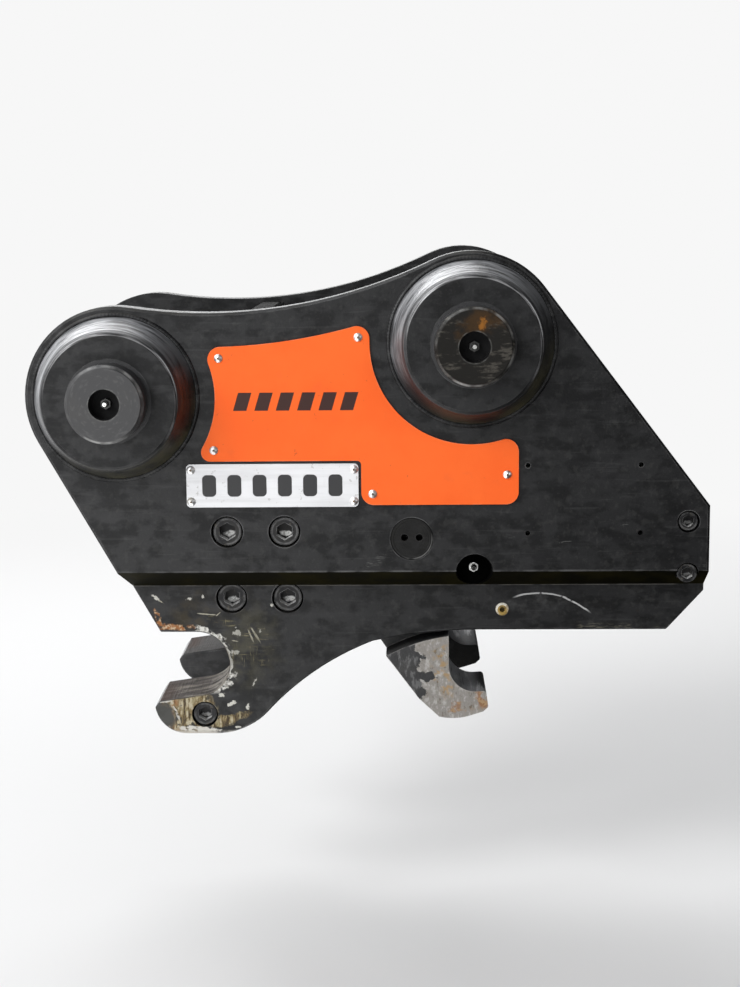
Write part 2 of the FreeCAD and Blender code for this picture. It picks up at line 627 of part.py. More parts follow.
# --- Movable hook: one casting with a hub, two cheeks, two claws and a two-lug lever ----------
def claw(y0, y1):
    shoulder, top = (CLAW_SHOULDER_X, CLAW_SHOULDER_Z), (CLAW_BACK_X, CLAW_TOP_Z)
    corner = (CLAW_BACK_X + CLAW_CORNER_R, CLAW_SEAT_Z + CLAW_CORNER_R)
    steps = [arc_radius(shoulder, top, CLAW_SHOULDER_R, +1), (CLAW_BACK_X, corner[1]),
             arc_about(corner, (CLAW_BACK_X, corner[1]), (corner[0], CLAW_SEAT_Z), +1),
             (CLAW_NOSE_X - 1.5, CLAW_SEAT_Z + 0.8), (CLAW_NOSE_X + 1.5, CLAW_NOSE_Z),
             (CLAW_NOSE_X - 5, CLAW_NOSE_Z - 6), (CLAW_NOSE_X - 24, CLAW_SOLE_Z + 2.5),
             ("arc", (CLAW_NOSE_X - 43, CLAW_SOLE_Z), (CLAW_NOSE_X - 60, CLAW_SOLE_Z + 2)),
             (CLAW_SHOULDER_X + 40.7, CLAW_SHOULDER_Z - 54.7)]
    body = slab(shoulder, steps, y0, y1)
    return round_corners(body, [((CLAW_NOSE_X + 1.5, CLAW_NOSE_Z), 4.0),
                                ((CLAW_NOSE_X - 1.5, CLAW_SEAT_Z + 0.8), 4.0)])


NECK_TOE = (CLAW_SHOULDER_X - NECK_TOE_X, CLAW_SHOULDER_Z + NECK_TOE_Z)


def neck(y0, y1):
    """Cheek between hub and claw."""
    hub_r = HUB_D / 2
    root = (CLAW_BACK_X, CLAW_TOP_Z)
    left, right = touch(NECK_TOE, PIVOT, hub_r, +1), touch(root, PIVOT, hub_r, -1)
    steps = [left, PIVOT, right, root, (CLAW_BACK_X, CLAW_SHOULDER_Z - 12),
             (CLAW_SHOULDER_X + 12, CLAW_SHOULDER_Z - 12), (CLAW_SHOULDER_X, CLAW_SHOULDER_Z)]
    return slab(NECK_TOE, steps, y0, y1)


def neck_web():
    """Cross web behind the cheeks' front edge."""
    left = touch(NECK_TOE, PIVOT, HUB_D / 2, +1)
    low = along(NECK_TOE, left, CLAW_TOP_Z + 14)
    steps = [left, (left[0] + NECK_WEB_T, left[1]), (low[0] + NECK_WEB_T, low[1])]
    return slab(low, steps, -PRONG_INNER, PRONG_INNER)


def lever_lug(y0, y1):
    """Tapered lug from the hub to the rod pin."""
    r0, r1 = LEVER_ROOT_D / 2, LEVER_EYE_D / 2
    lean = math.degrees(math.asin((r0 - r1) / math.dist(PIVOT, ROD_PIN)))
    up = angle(PIVOT, ROD_PIN)
    a, b = polar(PIVOT, r0, up + 90 - lean), polar(ROD_PIN, r1, up + 90 - lean)
    c, d = polar(ROD_PIN, r1, up - 90 + lean), polar(PIVOT, r0, up - 90 + lean)
    return slab(a, [b, ("arc", polar(ROD_PIN, r1, up), c), d, ("arc", polar(PIVOT, r0, up + 180), a)], y0, y1)


def movable_hook():
    hub_end = HOOK_INNER - HUB_SIDE
    lug_in = ROD_EYE_T / 2 + 2.0
    pieces = [rod(PIVOT, HUB_D, -hub_end, hub_end), neck_web()]
    for shape in (claw(-HOOK_FACE + HOOK_SIDE, -PRONG_INNER), neck(-hub_end, -PRONG_INNER),
                  lever_lug(-lug_in - LEVER_T, -lug_in)):
        pieces += [shape, far(shape)]
    body = fuse(pieces)
    bush_d = PIVOT_D + 2 * HUB_BUSH_WALL
    body = body.cut(ring(PIVOT, HUB_D + LEVER_T, HUB_MID_D, -lug_in, lug_in))
    body = body.cut(rod(PIVOT, PIVOT_D + 2.0, -hub_end, hub_end))
    for y0 in (-hub_end - 1, PRONG_INNER):
        body = body.cut(rod(PIVOT, bush_d, y0, y0 + hub_end + 1 - PRONG_INNER))
    reach, start = math.dist(PIVOT, (STOP_X, STOP_Z)), angle(PIVOT, (STOP_X, STOP_Z))
    for swing in (CLOSING_SWING, CLOSING_SWING - 2, CLOSING_SWING - 4):
        seat = polar(PIVOT, reach, start - swing)
        body = body.cut(rod(seat, STOP_D + 2 * STOP_PLAY, -hub_end, hub_end))
    return body.cut(rod(ROD_PIN, ROD_PIN_D, -lug_in - LEVER_T - 1, lug_in + LEVER_T + 1))


save(movable_hook(), "movable_hook")

hub_end = HOOK_INNER - HUB_SIDE
save_pair(ring(PIVOT, PIVOT_D + 2 * HUB_BUSH_WALL, PIVOT_D + 2 * PIN_RUN, -hub_end, -PRONG_INNER),
          "hook_bush")
save_pair(ring(PIVOT, HUB_D - 6, PIVOT_D + 1.0, -HOOK_INNER, -HOOK_INNER + WASHER_T), "thrust_washer")
save(rod(PIVOT, PIVOT_D, -HOOK_FACE + PIVOT_WEB, HOOK_FACE - PIVOT_WEB), "hook_pivot_pin")
nipple_near = grease_nipple(PIVOT, -HOOK_FACE, -1)
save_pair(nipple_near, "pivot_nipple")


# --- Cross pins of the cylinder, each with a spring ring at both ends -------------------------
def cross_pin(c, half):
    groove = ring(c, ROD_PIN_D + 2, ROD_PIN_D - 2 * (CLIP_H / 2), half, half + CLIP_T)
    body = rod(c, ROD_PIN_D, -half - ROD_PIN_END, half + ROD_PIN_END)
    body = body.makeChamfer(2.0, [e for e in body.Edges if e.BoundBox.YLength < 1e-4])
    return body.cut(groove).cut(far(groove))


def spring_rings(c, half):
    clip = ring(c, ROD_PIN_D + 2 * CLIP_H, ROD_PIN_D - CLIP_H, half, half + CLIP_T)
    clip = clip.cut(brick(c[0] - 4, c[0] + 4, half - 1, half + CLIP_T + 1, c[1], c[1] + ROD_PIN_D))
    return Part.makeCompound([clip, far(clip)])


ROD_PIN_HALF = ROD_EYE_T / 2 + 2.0 + LEVER_T
BARREL_PIN_HALF = BASE_EYE_T / 2 + CLEVIS_GAP + CLEVIS_T
save(cross_pin(ROD_PIN, ROD_PIN_HALF), "rod_pin")
save(spring_rings(ROD_PIN, ROD_PIN_HALF), "rod_pin_rings")
save(cross_pin(BARREL_PIN, BARREL_PIN_HALF), "barrel_pin")
save(spring_rings(BARREL_PIN, BARREL_PIN_HALF), "barrel_pin_rings")

# --- Hydraulic cylinder, built along +X from the barrel pin and turned onto the rod pin --------
REACH = math.dist(BARREL_PIN, ROD_PIN)
HEADING = angle(BARREL_PIN, ROD_PIN)


def disc(d, u0, u1, hole=0.0):
    body = Part.makeCylinder(d / 2, u1 - u0, Vector(u0, 0, 0), Vector(1, 0, 0))
    if hole:
        body = body.cut(Part.makeCylinder(hole / 2, u1 - u0 + 2, Vector(u0 - 1, 0, 0), Vector(1, 0, 0)))
    return body


def upright(d, u, z0, z1, w=0.0):
    """Round bar standing on top of the barrel (top is -Z before the cylinder is turned)."""
    return Part.makeCylinder(d / 2, z1 - z0, Vector(u, w, -z1), Vector(0, 0, 1))


def settle(shape):
    turned = shape.copy()
    turned.rotate(Vector(0, 0, 0), Vector(0, 1, 0), -HEADING)
    turned.translate(v(BARREL_PIN))
    return turned


BARREL_D = BORE_D + 2 * BARREL_WALL
BARREL_R = BARREL_D / 2
VALVE_SEAT = BARREL_R + VALVE_PAD
OIL_WAYS = [VALVE_U - VALVE_L / 4, VALVE_U + VALVE_L / 4]
VALVE_SCREWS = [(VALVE_U + s * (VALVE_L / 2 - VALVE_SCREW_EDGE), t * (VALVE_W / 2 - VALVE_SCREW_EDGE))
                for s in (-1, 1) for t in (-1, 1)]


def end_cap():
    half = BASE_EYE_T / 2
    eye = Part.makeCylinder(BASE_EYE_D / 2, BASE_EYE_T, Vector(0, -half, 0), Vector(0, 1, 0))
    shank = Part.makeBox(CAP_SEAT - 8, BASE_EYE_T, BASE_EYE_D, Vector(0, -half, -BASE_EYE_D / 2))
    body = fuse([eye, shank, disc(BARREL_D, CAP_SEAT - 12, CAP_SEAT), disc(BORE_D, CAP_SEAT, END_CAP_FACE)])
    hole = Part.makeCylinder(ROD_PIN_D / 2 + BASE_BUSH_WALL, BASE_EYE_T + 2, Vector(0, -half - 1, 0),
                             Vector(0, 1, 0))
    return body.cut(hole)


def barrel_tube():
    """Barrel with a pad welded on for the valve block."""
    pad = Part.makeBox(VALVE_L, VALVE_W, VALVE_SEAT, Vector(VALVE_U - VALVE_L / 2, -VALVE_W / 2, -VALVE_SEAT))
    body = fuse([disc(BARREL_D, CAP_SEAT, GLAND_SEAT), pad]).cut(disc(BORE_D, CAP_SEAT - 1, GLAND_SEAT + 1))
    for u in OIL_WAYS:
        body = body.cut(upright(OIL_WAY_D, u, 0, VALVE_SEAT + 1))
    for u, y in VALVE_SCREWS:
        body = body.cut(upright(VALVE_SCREW_D, u, VALVE_SEAT - VALVE_SCREW_GRIP, VALVE_SEAT + 1, y))
    return body


def gland():
    body = fuse([disc(BORE_D, GLAND_IN, GLAND_SEAT), disc(BARREL_D, GLAND_SEAT, GLAND_END)])
    rim = [e for e in body.Edges if e.BoundBox.XLength < 1e-4 and abs(e.BoundBox.XMin - GLAND_END) < 1e-4]
    body = body.makeChamfer(2.5, rim)
    body = body.cut(disc(ROD_D + 2 * ROD_RUN, GLAND_IN - 1, GLAND_END + 1))
    body = body.cut(disc(WIPER_D, GLAND_END - WIPER_T, GLAND_END + 1))
    for i in range(4):
        a = math.radians(45 + 90 * i)
        y, z = 0.5 * (WIPER_D / 2 + BARREL_R) * math.cos(a), 0.5 * (WIPER_D / 2 + BARREL_R) * math.sin(a)
        body = body.cut(Part.makeCylinder(3.0, 9, Vector(GLAND_END - 8, y, z), Vector(1, 0, 0)))
    return body


def valve_block():
    """Load-holding valve block on the barrel's flat, with two hose ports in its rear face."""
    u0 = VALVE_U - VALVE_L / 2
    body = Part.makeBox(VALVE_L, VALVE_W, VALVE_H, Vector(u0, -VALVE_W / 2, -VALVE_SEAT - VALVE_H))
    body = body.makeChamfer(2.0, [e for e in body.Edges if e.BoundBox.ZMin < -VALVE_SEAT - 1])
    for u in OIL_WAYS:
        body = body.cut(upright(OIL_WAY_D, u, VALVE_SEAT - 1, VALVE_SEAT + 14))
    mid = -VALVE_SEAT - 0.62 * VALVE_H
    for y in (-PORT_Y, PORT_Y):
        for d, start, end in ((PORT_D, -1, PORT_DEPTH), (PORT_D + 1, PORT_DEPTH, PORT_DEPTH + PORT_RELIEF)):
            bore = Part.makeCylinder(d / 2, end - start, Vector(u0 + start, y, mid), Vector(1, 0, 0))
            body = body.cut(bore)
    for u, y in VALVE_SCREWS:
        body = body.cut(upright(VALVE_SCREW_D + 1, u, VALVE_SEAT - 1, VALVE_SEAT + VALVE_H + 1, y))
    return body


def valve_cartridge():
    """Screw-in pilot cartridge in the valve block's front face."""
    u1, mid = VALVE_U + VALVE_L / 2, -VALVE_SEAT - 0.6 * VALVE_H
    body = Part.makeCylinder(8, 10, Vector(u1, 0, mid), Vector(1, 0, 0))
    hexes = [Vector(u1, 12 * math.cos(math.radians(60 * i)), mid + 12 * math.sin(math.radians(60 * i)))
             for i in range(6)]
    return fuse([body, Part.Face(Part.makePolygon(hexes + hexes[:1])).extrude(Vector(7, 0, 0))])


def valve_screws():
    screws = []
    d, top = VALVE_SCREW_D, VALVE_SEAT + VALVE_H
    for u, y in VALVE_SCREWS:
        screw = fuse([upright(d, u, VALVE_SEAT - VALVE_SCREW_GRIP, top + 1, y),
                      upright(1.5 * d, u, top, top + d, y)])
        screws.append(screw.cut(upright(0.6 * d, u, top + 0.5 * d, top + d + 1, y)))
    return Part.makeCompound(screws)


def rod_shape():
    front = PISTON_BACK + PISTON_T
    return fuse([disc(ROD_D, front, REACH - ROD_EYE_D / 2 - 6), disc(SPIGOT_D, PISTON_BACK, front)])


def rod_eye():
    half, r = ROD_EYE_T / 2, ROD_EYE_D / 2
    eye = Part.makeCylinder(r, ROD_EYE_T, Vector(REACH, -half, 0), Vector(0, 1, 0))
    shank = Part.makeBox(r + 6, ROD_EYE_T - 6, 2 * r - 16, Vector(REACH - r - 6, -half + 3, -r + 8))
    hole = Part.makeCylinder(ROD_PIN_D / 2 + ROD_EYE_OPEN, ROD_EYE_T + 2, Vector(REACH, -half - 1, 0),
                             Vector(0, 1, 0))
    return fuse([eye, shank]).cut(hole)


def base_bush():
    half = BASE_EYE_T / 2
    outer = Part.makeCylinder(ROD_PIN_D / 2 + BASE_BUSH_WALL, BASE_EYE_T, Vector(0, -half, 0),
                              Vector(0, 1, 0))
    return outer.cut(Part.makeCylinder(ROD_PIN_D / 2 + PIN_RUN, BASE_EYE_T + 2, Vector(0, -half - 1, 0),
                                       Vector(0, 1, 0)))


SEAL_U = PISTON_BACK + PISTON_T / 2
piston = disc(BORE_D - 2 * PISTON_GAP, PISTON_BACK, PISTON_BACK + PISTON_T, SPIGOT_D)
seal = disc(BORE_D - 0.1, SEAL_U - 4, SEAL_U + 4, BORE_D - 12)
for name, shape in (("barrel_end_cap", end_cap()), ("barrel_tube", barrel_tube()), ("rod_gland", gland()),
                    ("barrel_bush", base_bush()), ("lock_valve_block", valve_block()),
                    ("valve_cartridge", valve_cartridge()), ("valve_screws", valve_screws()),
                    ("rod_wiper", disc(WIPER_D, GLAND_END - WIPER_T, GLAND_END + 1.5, ROD_D + 2 * ROD_RUN)),
                    ("piston_rod", rod_shape()), ("piston", piston.cut(seal)), ("piston_seal", seal),
                    ("rod_eye", rod_eye())):
    save(settle(shape), name)

# --- Screws ----------------------------------------------------------------------------------
high = [cap_screw(p, M24, -EAR_FACE + M24 + HEAD_SINK, EAR_T + HOOK_PLATE_T - M24 - HEAD_SINK + SCREW_GRIP)
        for p in BLOCK_BOLTS_TOP]
low = [cap_screw(p, M24, -HOOK_FACE + M24 + HEAD_SINK, HOOK_PLATE_T - M24 - HEAD_SINK + SCREW_GRIP)
       for p in BLOCK_BOLTS_LOW]
save_pair(Part.makeCompound(high + low), "front_block_screws")
save_pair(Part.makeCompound([cap_screw(p, M16, -EAR_FACE + M16 + HEAD_SINK,
                                       EAR_T + HOOK_PLATE_T - M16 - HEAD_SINK + SCREW_GRIP - 3)
                             for p in REAR_BOLTS]), "rear_block_screws")
save_pair(cap_screw(JAW_BOLT, M20, -HOOK_FACE + M20 + HEAD_SINK, HOOK_PLATE_T - M20 - HEAD_SINK + SCREW_GRIP),
          "jaw_screw")


# --- Oil plug, badge and number plate on the near face -----------------------------------------
def oil_plug():
    p = (PLUG_X, PLUG_Z)
    body = fuse([rod(p, PLUG_D, -HOOK_FACE, -HOOK_FACE + 14), rod(p, PLUG_D - 2, -HOOK_FACE - 3, -HOOK_FACE)])
    return body.cut(hexagon(p, 6.0, -HOOK_FACE - 4, -HOOK_FACE + 4))


def rivets(spots, seat_y):
    heads = []
    for p in spots:
        dome = Part.makeSphere(RIVET_D * 0.62, v(p, seat_y + RIVET_D * 0.62 - RIVET_H))
        heads.append(dome.common(rod(p, RIVET_D, seat_y - RIVET_D, seat_y)))
    return Part.makeCompound(heads)


BADGE_ARM_R = BOSS_BASE_D / 2 + 2 * BADGE_GAP - 2
BADGE_LINK_R = BOSS_BASE_D / 2 + 2 * BADGE_GAP - 0.5
BADGE_STEP = (NUMBER_X + NUMBER_L / 2 + PLATE_GAP, NUMBER_Z + NUMBER_H / 2 + PLATE_GAP)


def crossing(c, r, other, other_r, side):
    """Where two circles cross; side +1 is left of the way from the first centre to the other."""
    d = math.dist(c, other)
    turn = math.degrees(math.acos((r * r + d * d - other_r * other_r) / (2 * r * d)))
    return polar(c, r, angle(c, other) + side * turn)


def badge_corners(inset=0.0):
    """Front low, front high and rear high corner of a line this far inside the badge's edge."""
    arm_r, top_r = BADGE_ARM_R + inset, SADDLE_R + BADGE_TOP_GAP + inset
    low, rear = BADGE_STEP[1] + inset, LINK_PIN_X - BADGE_LINK_R - inset
    return [(ARM_PIN_X + math.sqrt(arm_r ** 2 - (low - ARM_PIN_Z) ** 2), low),
            crossing(ARM, arm_r, SADDLE, top_r, -1),
            (rear, SADDLE[1] - math.sqrt(top_r ** 2 - (rear - SADDLE[0]) ** 2))]


def badge_plate():
    """Painted plate that follows both bosses, the ears' top edge and the number plate."""
    front_low, front_high, rear_high = badge_corners()
    beside_link = (rear_high[0], LINK_PIN_Z)
    rear_low = (BADGE_REAR_X, LINK_PIN_Z - math.sqrt(BADGE_LINK_R ** 2 - (BADGE_REAR_X - LINK_PIN_X) ** 2))
    foot = [(BADGE_REAR_X, BADGE_FOOT_Z), (BADGE_STEP[0], BADGE_FOOT_Z)]
    steps = [arc_about(ARM, front_low, front_high, +1), arc_about(SADDLE, front_high, rear_high, +1),
             beside_link, arc_about(LINK, beside_link, rear_low, +1)] + foot + [BADGE_STEP]
    body = slab(front_low, steps, -EAR_FACE - BADGE_T, -EAR_FACE)
    body = round_corners(body, [(BADGE_STEP, 5.0), (front_low, 11.0)])
    return round_corners(body, [(spot, BADGE_CORNER) for spot in [front_high, rear_high, rear_low] + foot])


def number_plate():
    x0, z0 = NUMBER_X - NUMBER_L / 2, NUMBER_Z - NUMBER_H / 2
    body = brick(x0, x0 + NUMBER_L, -EAR_FACE - NUMBER_T, -EAR_FACE, z0, z0 + NUMBER_H)
    spots = [(x0 + i * NUMBER_L, z0 + j * NUMBER_H) for i in (0, 1) for j in (0, 1)]
    return round_corners(body, [(s, NUMBER_CORNER) for s in spots])


save(oil_plug(), "oil_plug")
save(badge_plate(), "badge_plate")
save(number_plate(), "number_plate")
NUMBER_RIVETS = [(NUMBER_X + s * (NUMBER_L / 2 - 5.5), NUMBER_Z + t * (NUMBER_H / 2 - 7.0))
                 for s in (-1, 1) for t in (-1, 1)]
BADGE_RIVETS = badge_corners(BADGE_RIVET_IN) + [
    (BADGE_STEP[0] + BADGE_RIVET_IN, BADGE_FOOT_Z + BADGE_RIVET_IN),
    (BADGE_REAR_X - BADGE_RIVET_IN, BADGE_FOOT_Z + BADGE_RIVET_UP)]
save(rivets(NUMBER_RIVETS, -EAR_FACE - NUMBER_T), "number_plate_rivets")
save(rivets(BADGE_RIVETS, -EAR_FACE - BADGE_T), "badge_plate_rivets")
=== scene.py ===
import math

import bmesh
import bpy
from mathutils import Matrix, Vector


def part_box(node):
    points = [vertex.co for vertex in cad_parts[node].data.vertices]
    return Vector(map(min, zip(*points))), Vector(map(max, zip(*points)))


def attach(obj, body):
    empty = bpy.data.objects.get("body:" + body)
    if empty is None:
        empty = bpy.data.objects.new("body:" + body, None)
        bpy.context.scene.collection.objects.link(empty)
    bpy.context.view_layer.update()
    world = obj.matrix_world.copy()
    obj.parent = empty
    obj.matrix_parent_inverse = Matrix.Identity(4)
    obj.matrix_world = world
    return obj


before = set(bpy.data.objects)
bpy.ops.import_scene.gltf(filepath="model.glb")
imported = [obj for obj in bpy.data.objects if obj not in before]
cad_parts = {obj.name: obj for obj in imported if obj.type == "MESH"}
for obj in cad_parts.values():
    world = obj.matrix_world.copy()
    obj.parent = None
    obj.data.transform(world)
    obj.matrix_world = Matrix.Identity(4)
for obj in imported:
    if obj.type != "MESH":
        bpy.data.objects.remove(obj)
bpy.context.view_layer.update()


# --- Camera -------------------------------------------------------------------------------------
# A long lens at chest height, square on to the near plate, turned a little to the left and
# looking slightly down on the coupler.
camera = bpy.data.objects.new("camera", bpy.data.cameras.new("camera"))
bpy.context.scene.collection.objects.link(camera)
camera.location = (0.2599, -2.2366, 0.5480)
camera.rotation_euler = [math.radians(turn) for turn in (81.27, 0.61, 1.82)]
camera.data.lens = 62.57
camera.data.sensor_width = 36.0
camera.data.shift_x = 0.0222
camera.data.shift_y = -0.0128
camera.data.clip_start = 0.05
bpy.context.scene.camera = camera
bpy.context.scene.view_settings.view_transform = "Standard"


# --- Floor and light ----------------------------------------------------------------------------
# The coupler hangs over a pale studio floor that runs out into a white surround. A large soft box
# stands up on the left, another hangs behind for the upper edges, and a weak one fills the right.
BELOW = (0.25, 0, -0.34)
FLOOR_REACH = 14.0
SHADOW_KEPT, SHADOW_GONE = 0.9, 3.2
WHITE = (0.93, 0.93, 0.93, 1)
MIDDLE = (0.22, 0, 0.20)
AIM = Vector((0.22, 0, 0.15))
bm = bmesh.new()
bmesh.ops.create_circle(bm, cap_ends=True, segments=64, radius=FLOOR_REACH, matrix=Matrix.Translation(BELOW))
floor = bpy.data.objects.new("floor", bpy.data.meshes.new("floor"))
bm.to_mesh(floor.data)
bm.free()
bpy.context.scene.collection.objects.link(floor)


def mirrored_light(nodes, links, outward, straight):
    """The studio's strength: even in straight view, with a bright side on the left for reflections.

    outward is the direction in which a point of the studio lies from the coupler.
    """
    rise = (0.12, -0.32, 0.03, 3.4)
    fall = (-0.32, -0.80, 1.0, 0.35)
    split = nodes.new("ShaderNodeSeparateXYZ")
    links.new(outward, split.inputs[0])
    band = nodes.new("ShaderNodeMath")
    band.operation = "MULTIPLY"
    for side, ends in enumerate((rise, fall)):
        slope = nodes.new("ShaderNodeMapRange")
        for name, value in zip(("From Min", "From Max", "To Min", "To Max"), ends):
            slope.inputs[name].default_value = value
        links.new(split.outputs["X"], slope.inputs["Value"])
        links.new(slope.outputs["Result"], band.inputs[side])
    ray = nodes.new("ShaderNodeLightPath")
    pick = nodes.new("ShaderNodeMix")
    pick.inputs["A"].default_value = straight
    links.new(band.outputs[0], pick.inputs["B"])
    links.new(ray.outputs["Is Glossy Ray"], pick.inputs["Factor"])
    return pick.outputs["Result"], ray


pale = bpy.data.materials.new("pale_floor")
pale.use_nodes = True
nodes, links = pale.node_tree.nodes, pale.node_tree.links
pale_shader = nodes["Principled BSDF"]
pale_shader.inputs["Base Color"].default_value = (0.80, 0.80, 0.80, 1)
pale_shader.inputs["Roughness"].default_value = 0.9
pale_shader.inputs["Specular IOR Level"].default_value = 0.1
surround = nodes.new("ShaderNodeEmission")
surround.inputs["Color"].default_value = WHITE
seen = nodes.new("ShaderNodeTexCoord")
apart = nodes.new("ShaderNodeVectorMath")
apart.operation = "SUBTRACT"
apart.inputs[1].default_value = MIDDLE
outward = nodes.new("ShaderNodeVectorMath")
outward.operation = "NORMALIZE"
links.new(seen.outputs["Object"], apart.inputs[0])
links.new(apart.outputs[0], outward.inputs[0])
strength, ray = mirrored_light(nodes, links, outward.outputs[0], 1.0)
links.new(strength, surround.inputs["Strength"])
reach = nodes.new("ShaderNodeVectorMath")
reach.operation = "DISTANCE"
reach.inputs[1].default_value = BELOW
spread = nodes.new("ShaderNodeMapRange")
spread.interpolation_type = "SMOOTHSTEP"
spread.inputs["From Min"].default_value = SHADOW_KEPT
spread.inputs["From Max"].default_value = SHADOW_GONE
bare = nodes.new("ShaderNodeMath")
bare.operation = "MAXIMUM"
ends = nodes.new("ShaderNodeMixShader")
links.new(seen.outputs["Object"], reach.inputs[0])
links.new(reach.outputs["Value"], spread.inputs["Value"])
links.new(spread.outputs["Result"], bare.inputs[0])
links.new(ray.outputs["Is Glossy Ray"], bare.inputs[1])
links.new(bare.outputs[0], ends.inputs[0])
links.new(pale_shader.outputs[0], ends.inputs[1])
links.new(surround.outputs[0], ends.inputs[2])
links.new(ends.outputs[0], nodes["Material Output"].inputs["Surface"])
floor.data.materials.append(pale)

world = bpy.data.worlds.new("studio")
world.use_nodes = True
bpy.context.scene.world = world
nodes, links = world.node_tree.nodes, world.node_tree.links
soft = nodes["Background"]
soft.inputs["Color"].default_value = (0.97, 0.98, 1.0, 1)
sky = nodes.new("ShaderNodeTexCoord")
strength, ray = mirrored_light(nodes, links, sky.outputs["Generated"], 0.36)
links.new(strength, soft.inputs["Strength"])
white = nodes.new("ShaderNodeBackground")
white.inputs["Color"].default_value = WHITE
shown = nodes.new("ShaderNodeMath")
shown.operation = "MAXIMUM"
ends = nodes.new("ShaderNodeMixShader")
links.new(ray.outputs["Is Camera Ray"], shown.inputs[0])
links.new(ray.outputs["Is Transmission Ray"], shown.inputs[1])
links.new(shown.outputs[0], ends.inputs[0])
links.new(soft.outputs[0], ends.inputs[1])
links.new(white.outputs[0], ends.inputs[2])
links.new(ends.outputs[0], nodes["World Output"].inputs["Surface"])

for name, place, width, height, watts in (
        ("key_box", (-2.3, -2.4, 2.3), 2.0, 1.6, 120), ("back_box", (-0.7, 2.6, 2.6), 3.0, 1.6, 92),
        ("fill_box", (2.9, -2.2, 1.0), 1.4, 1.4, 16)):
    lamp = bpy.data.lights.new(name, "AREA")
    lamp.shape = "RECTANGLE"
    lamp.size, lamp.size_y, lamp.energy = width, height, watts
    box = bpy.data.objects.new(name, lamp)
    box.location = place
    box.rotation_euler = (AIM - Vector(place)).to_track_quat("-Z", "Y").to_euler()
    bpy.context.scene.collection.objects.link(box)


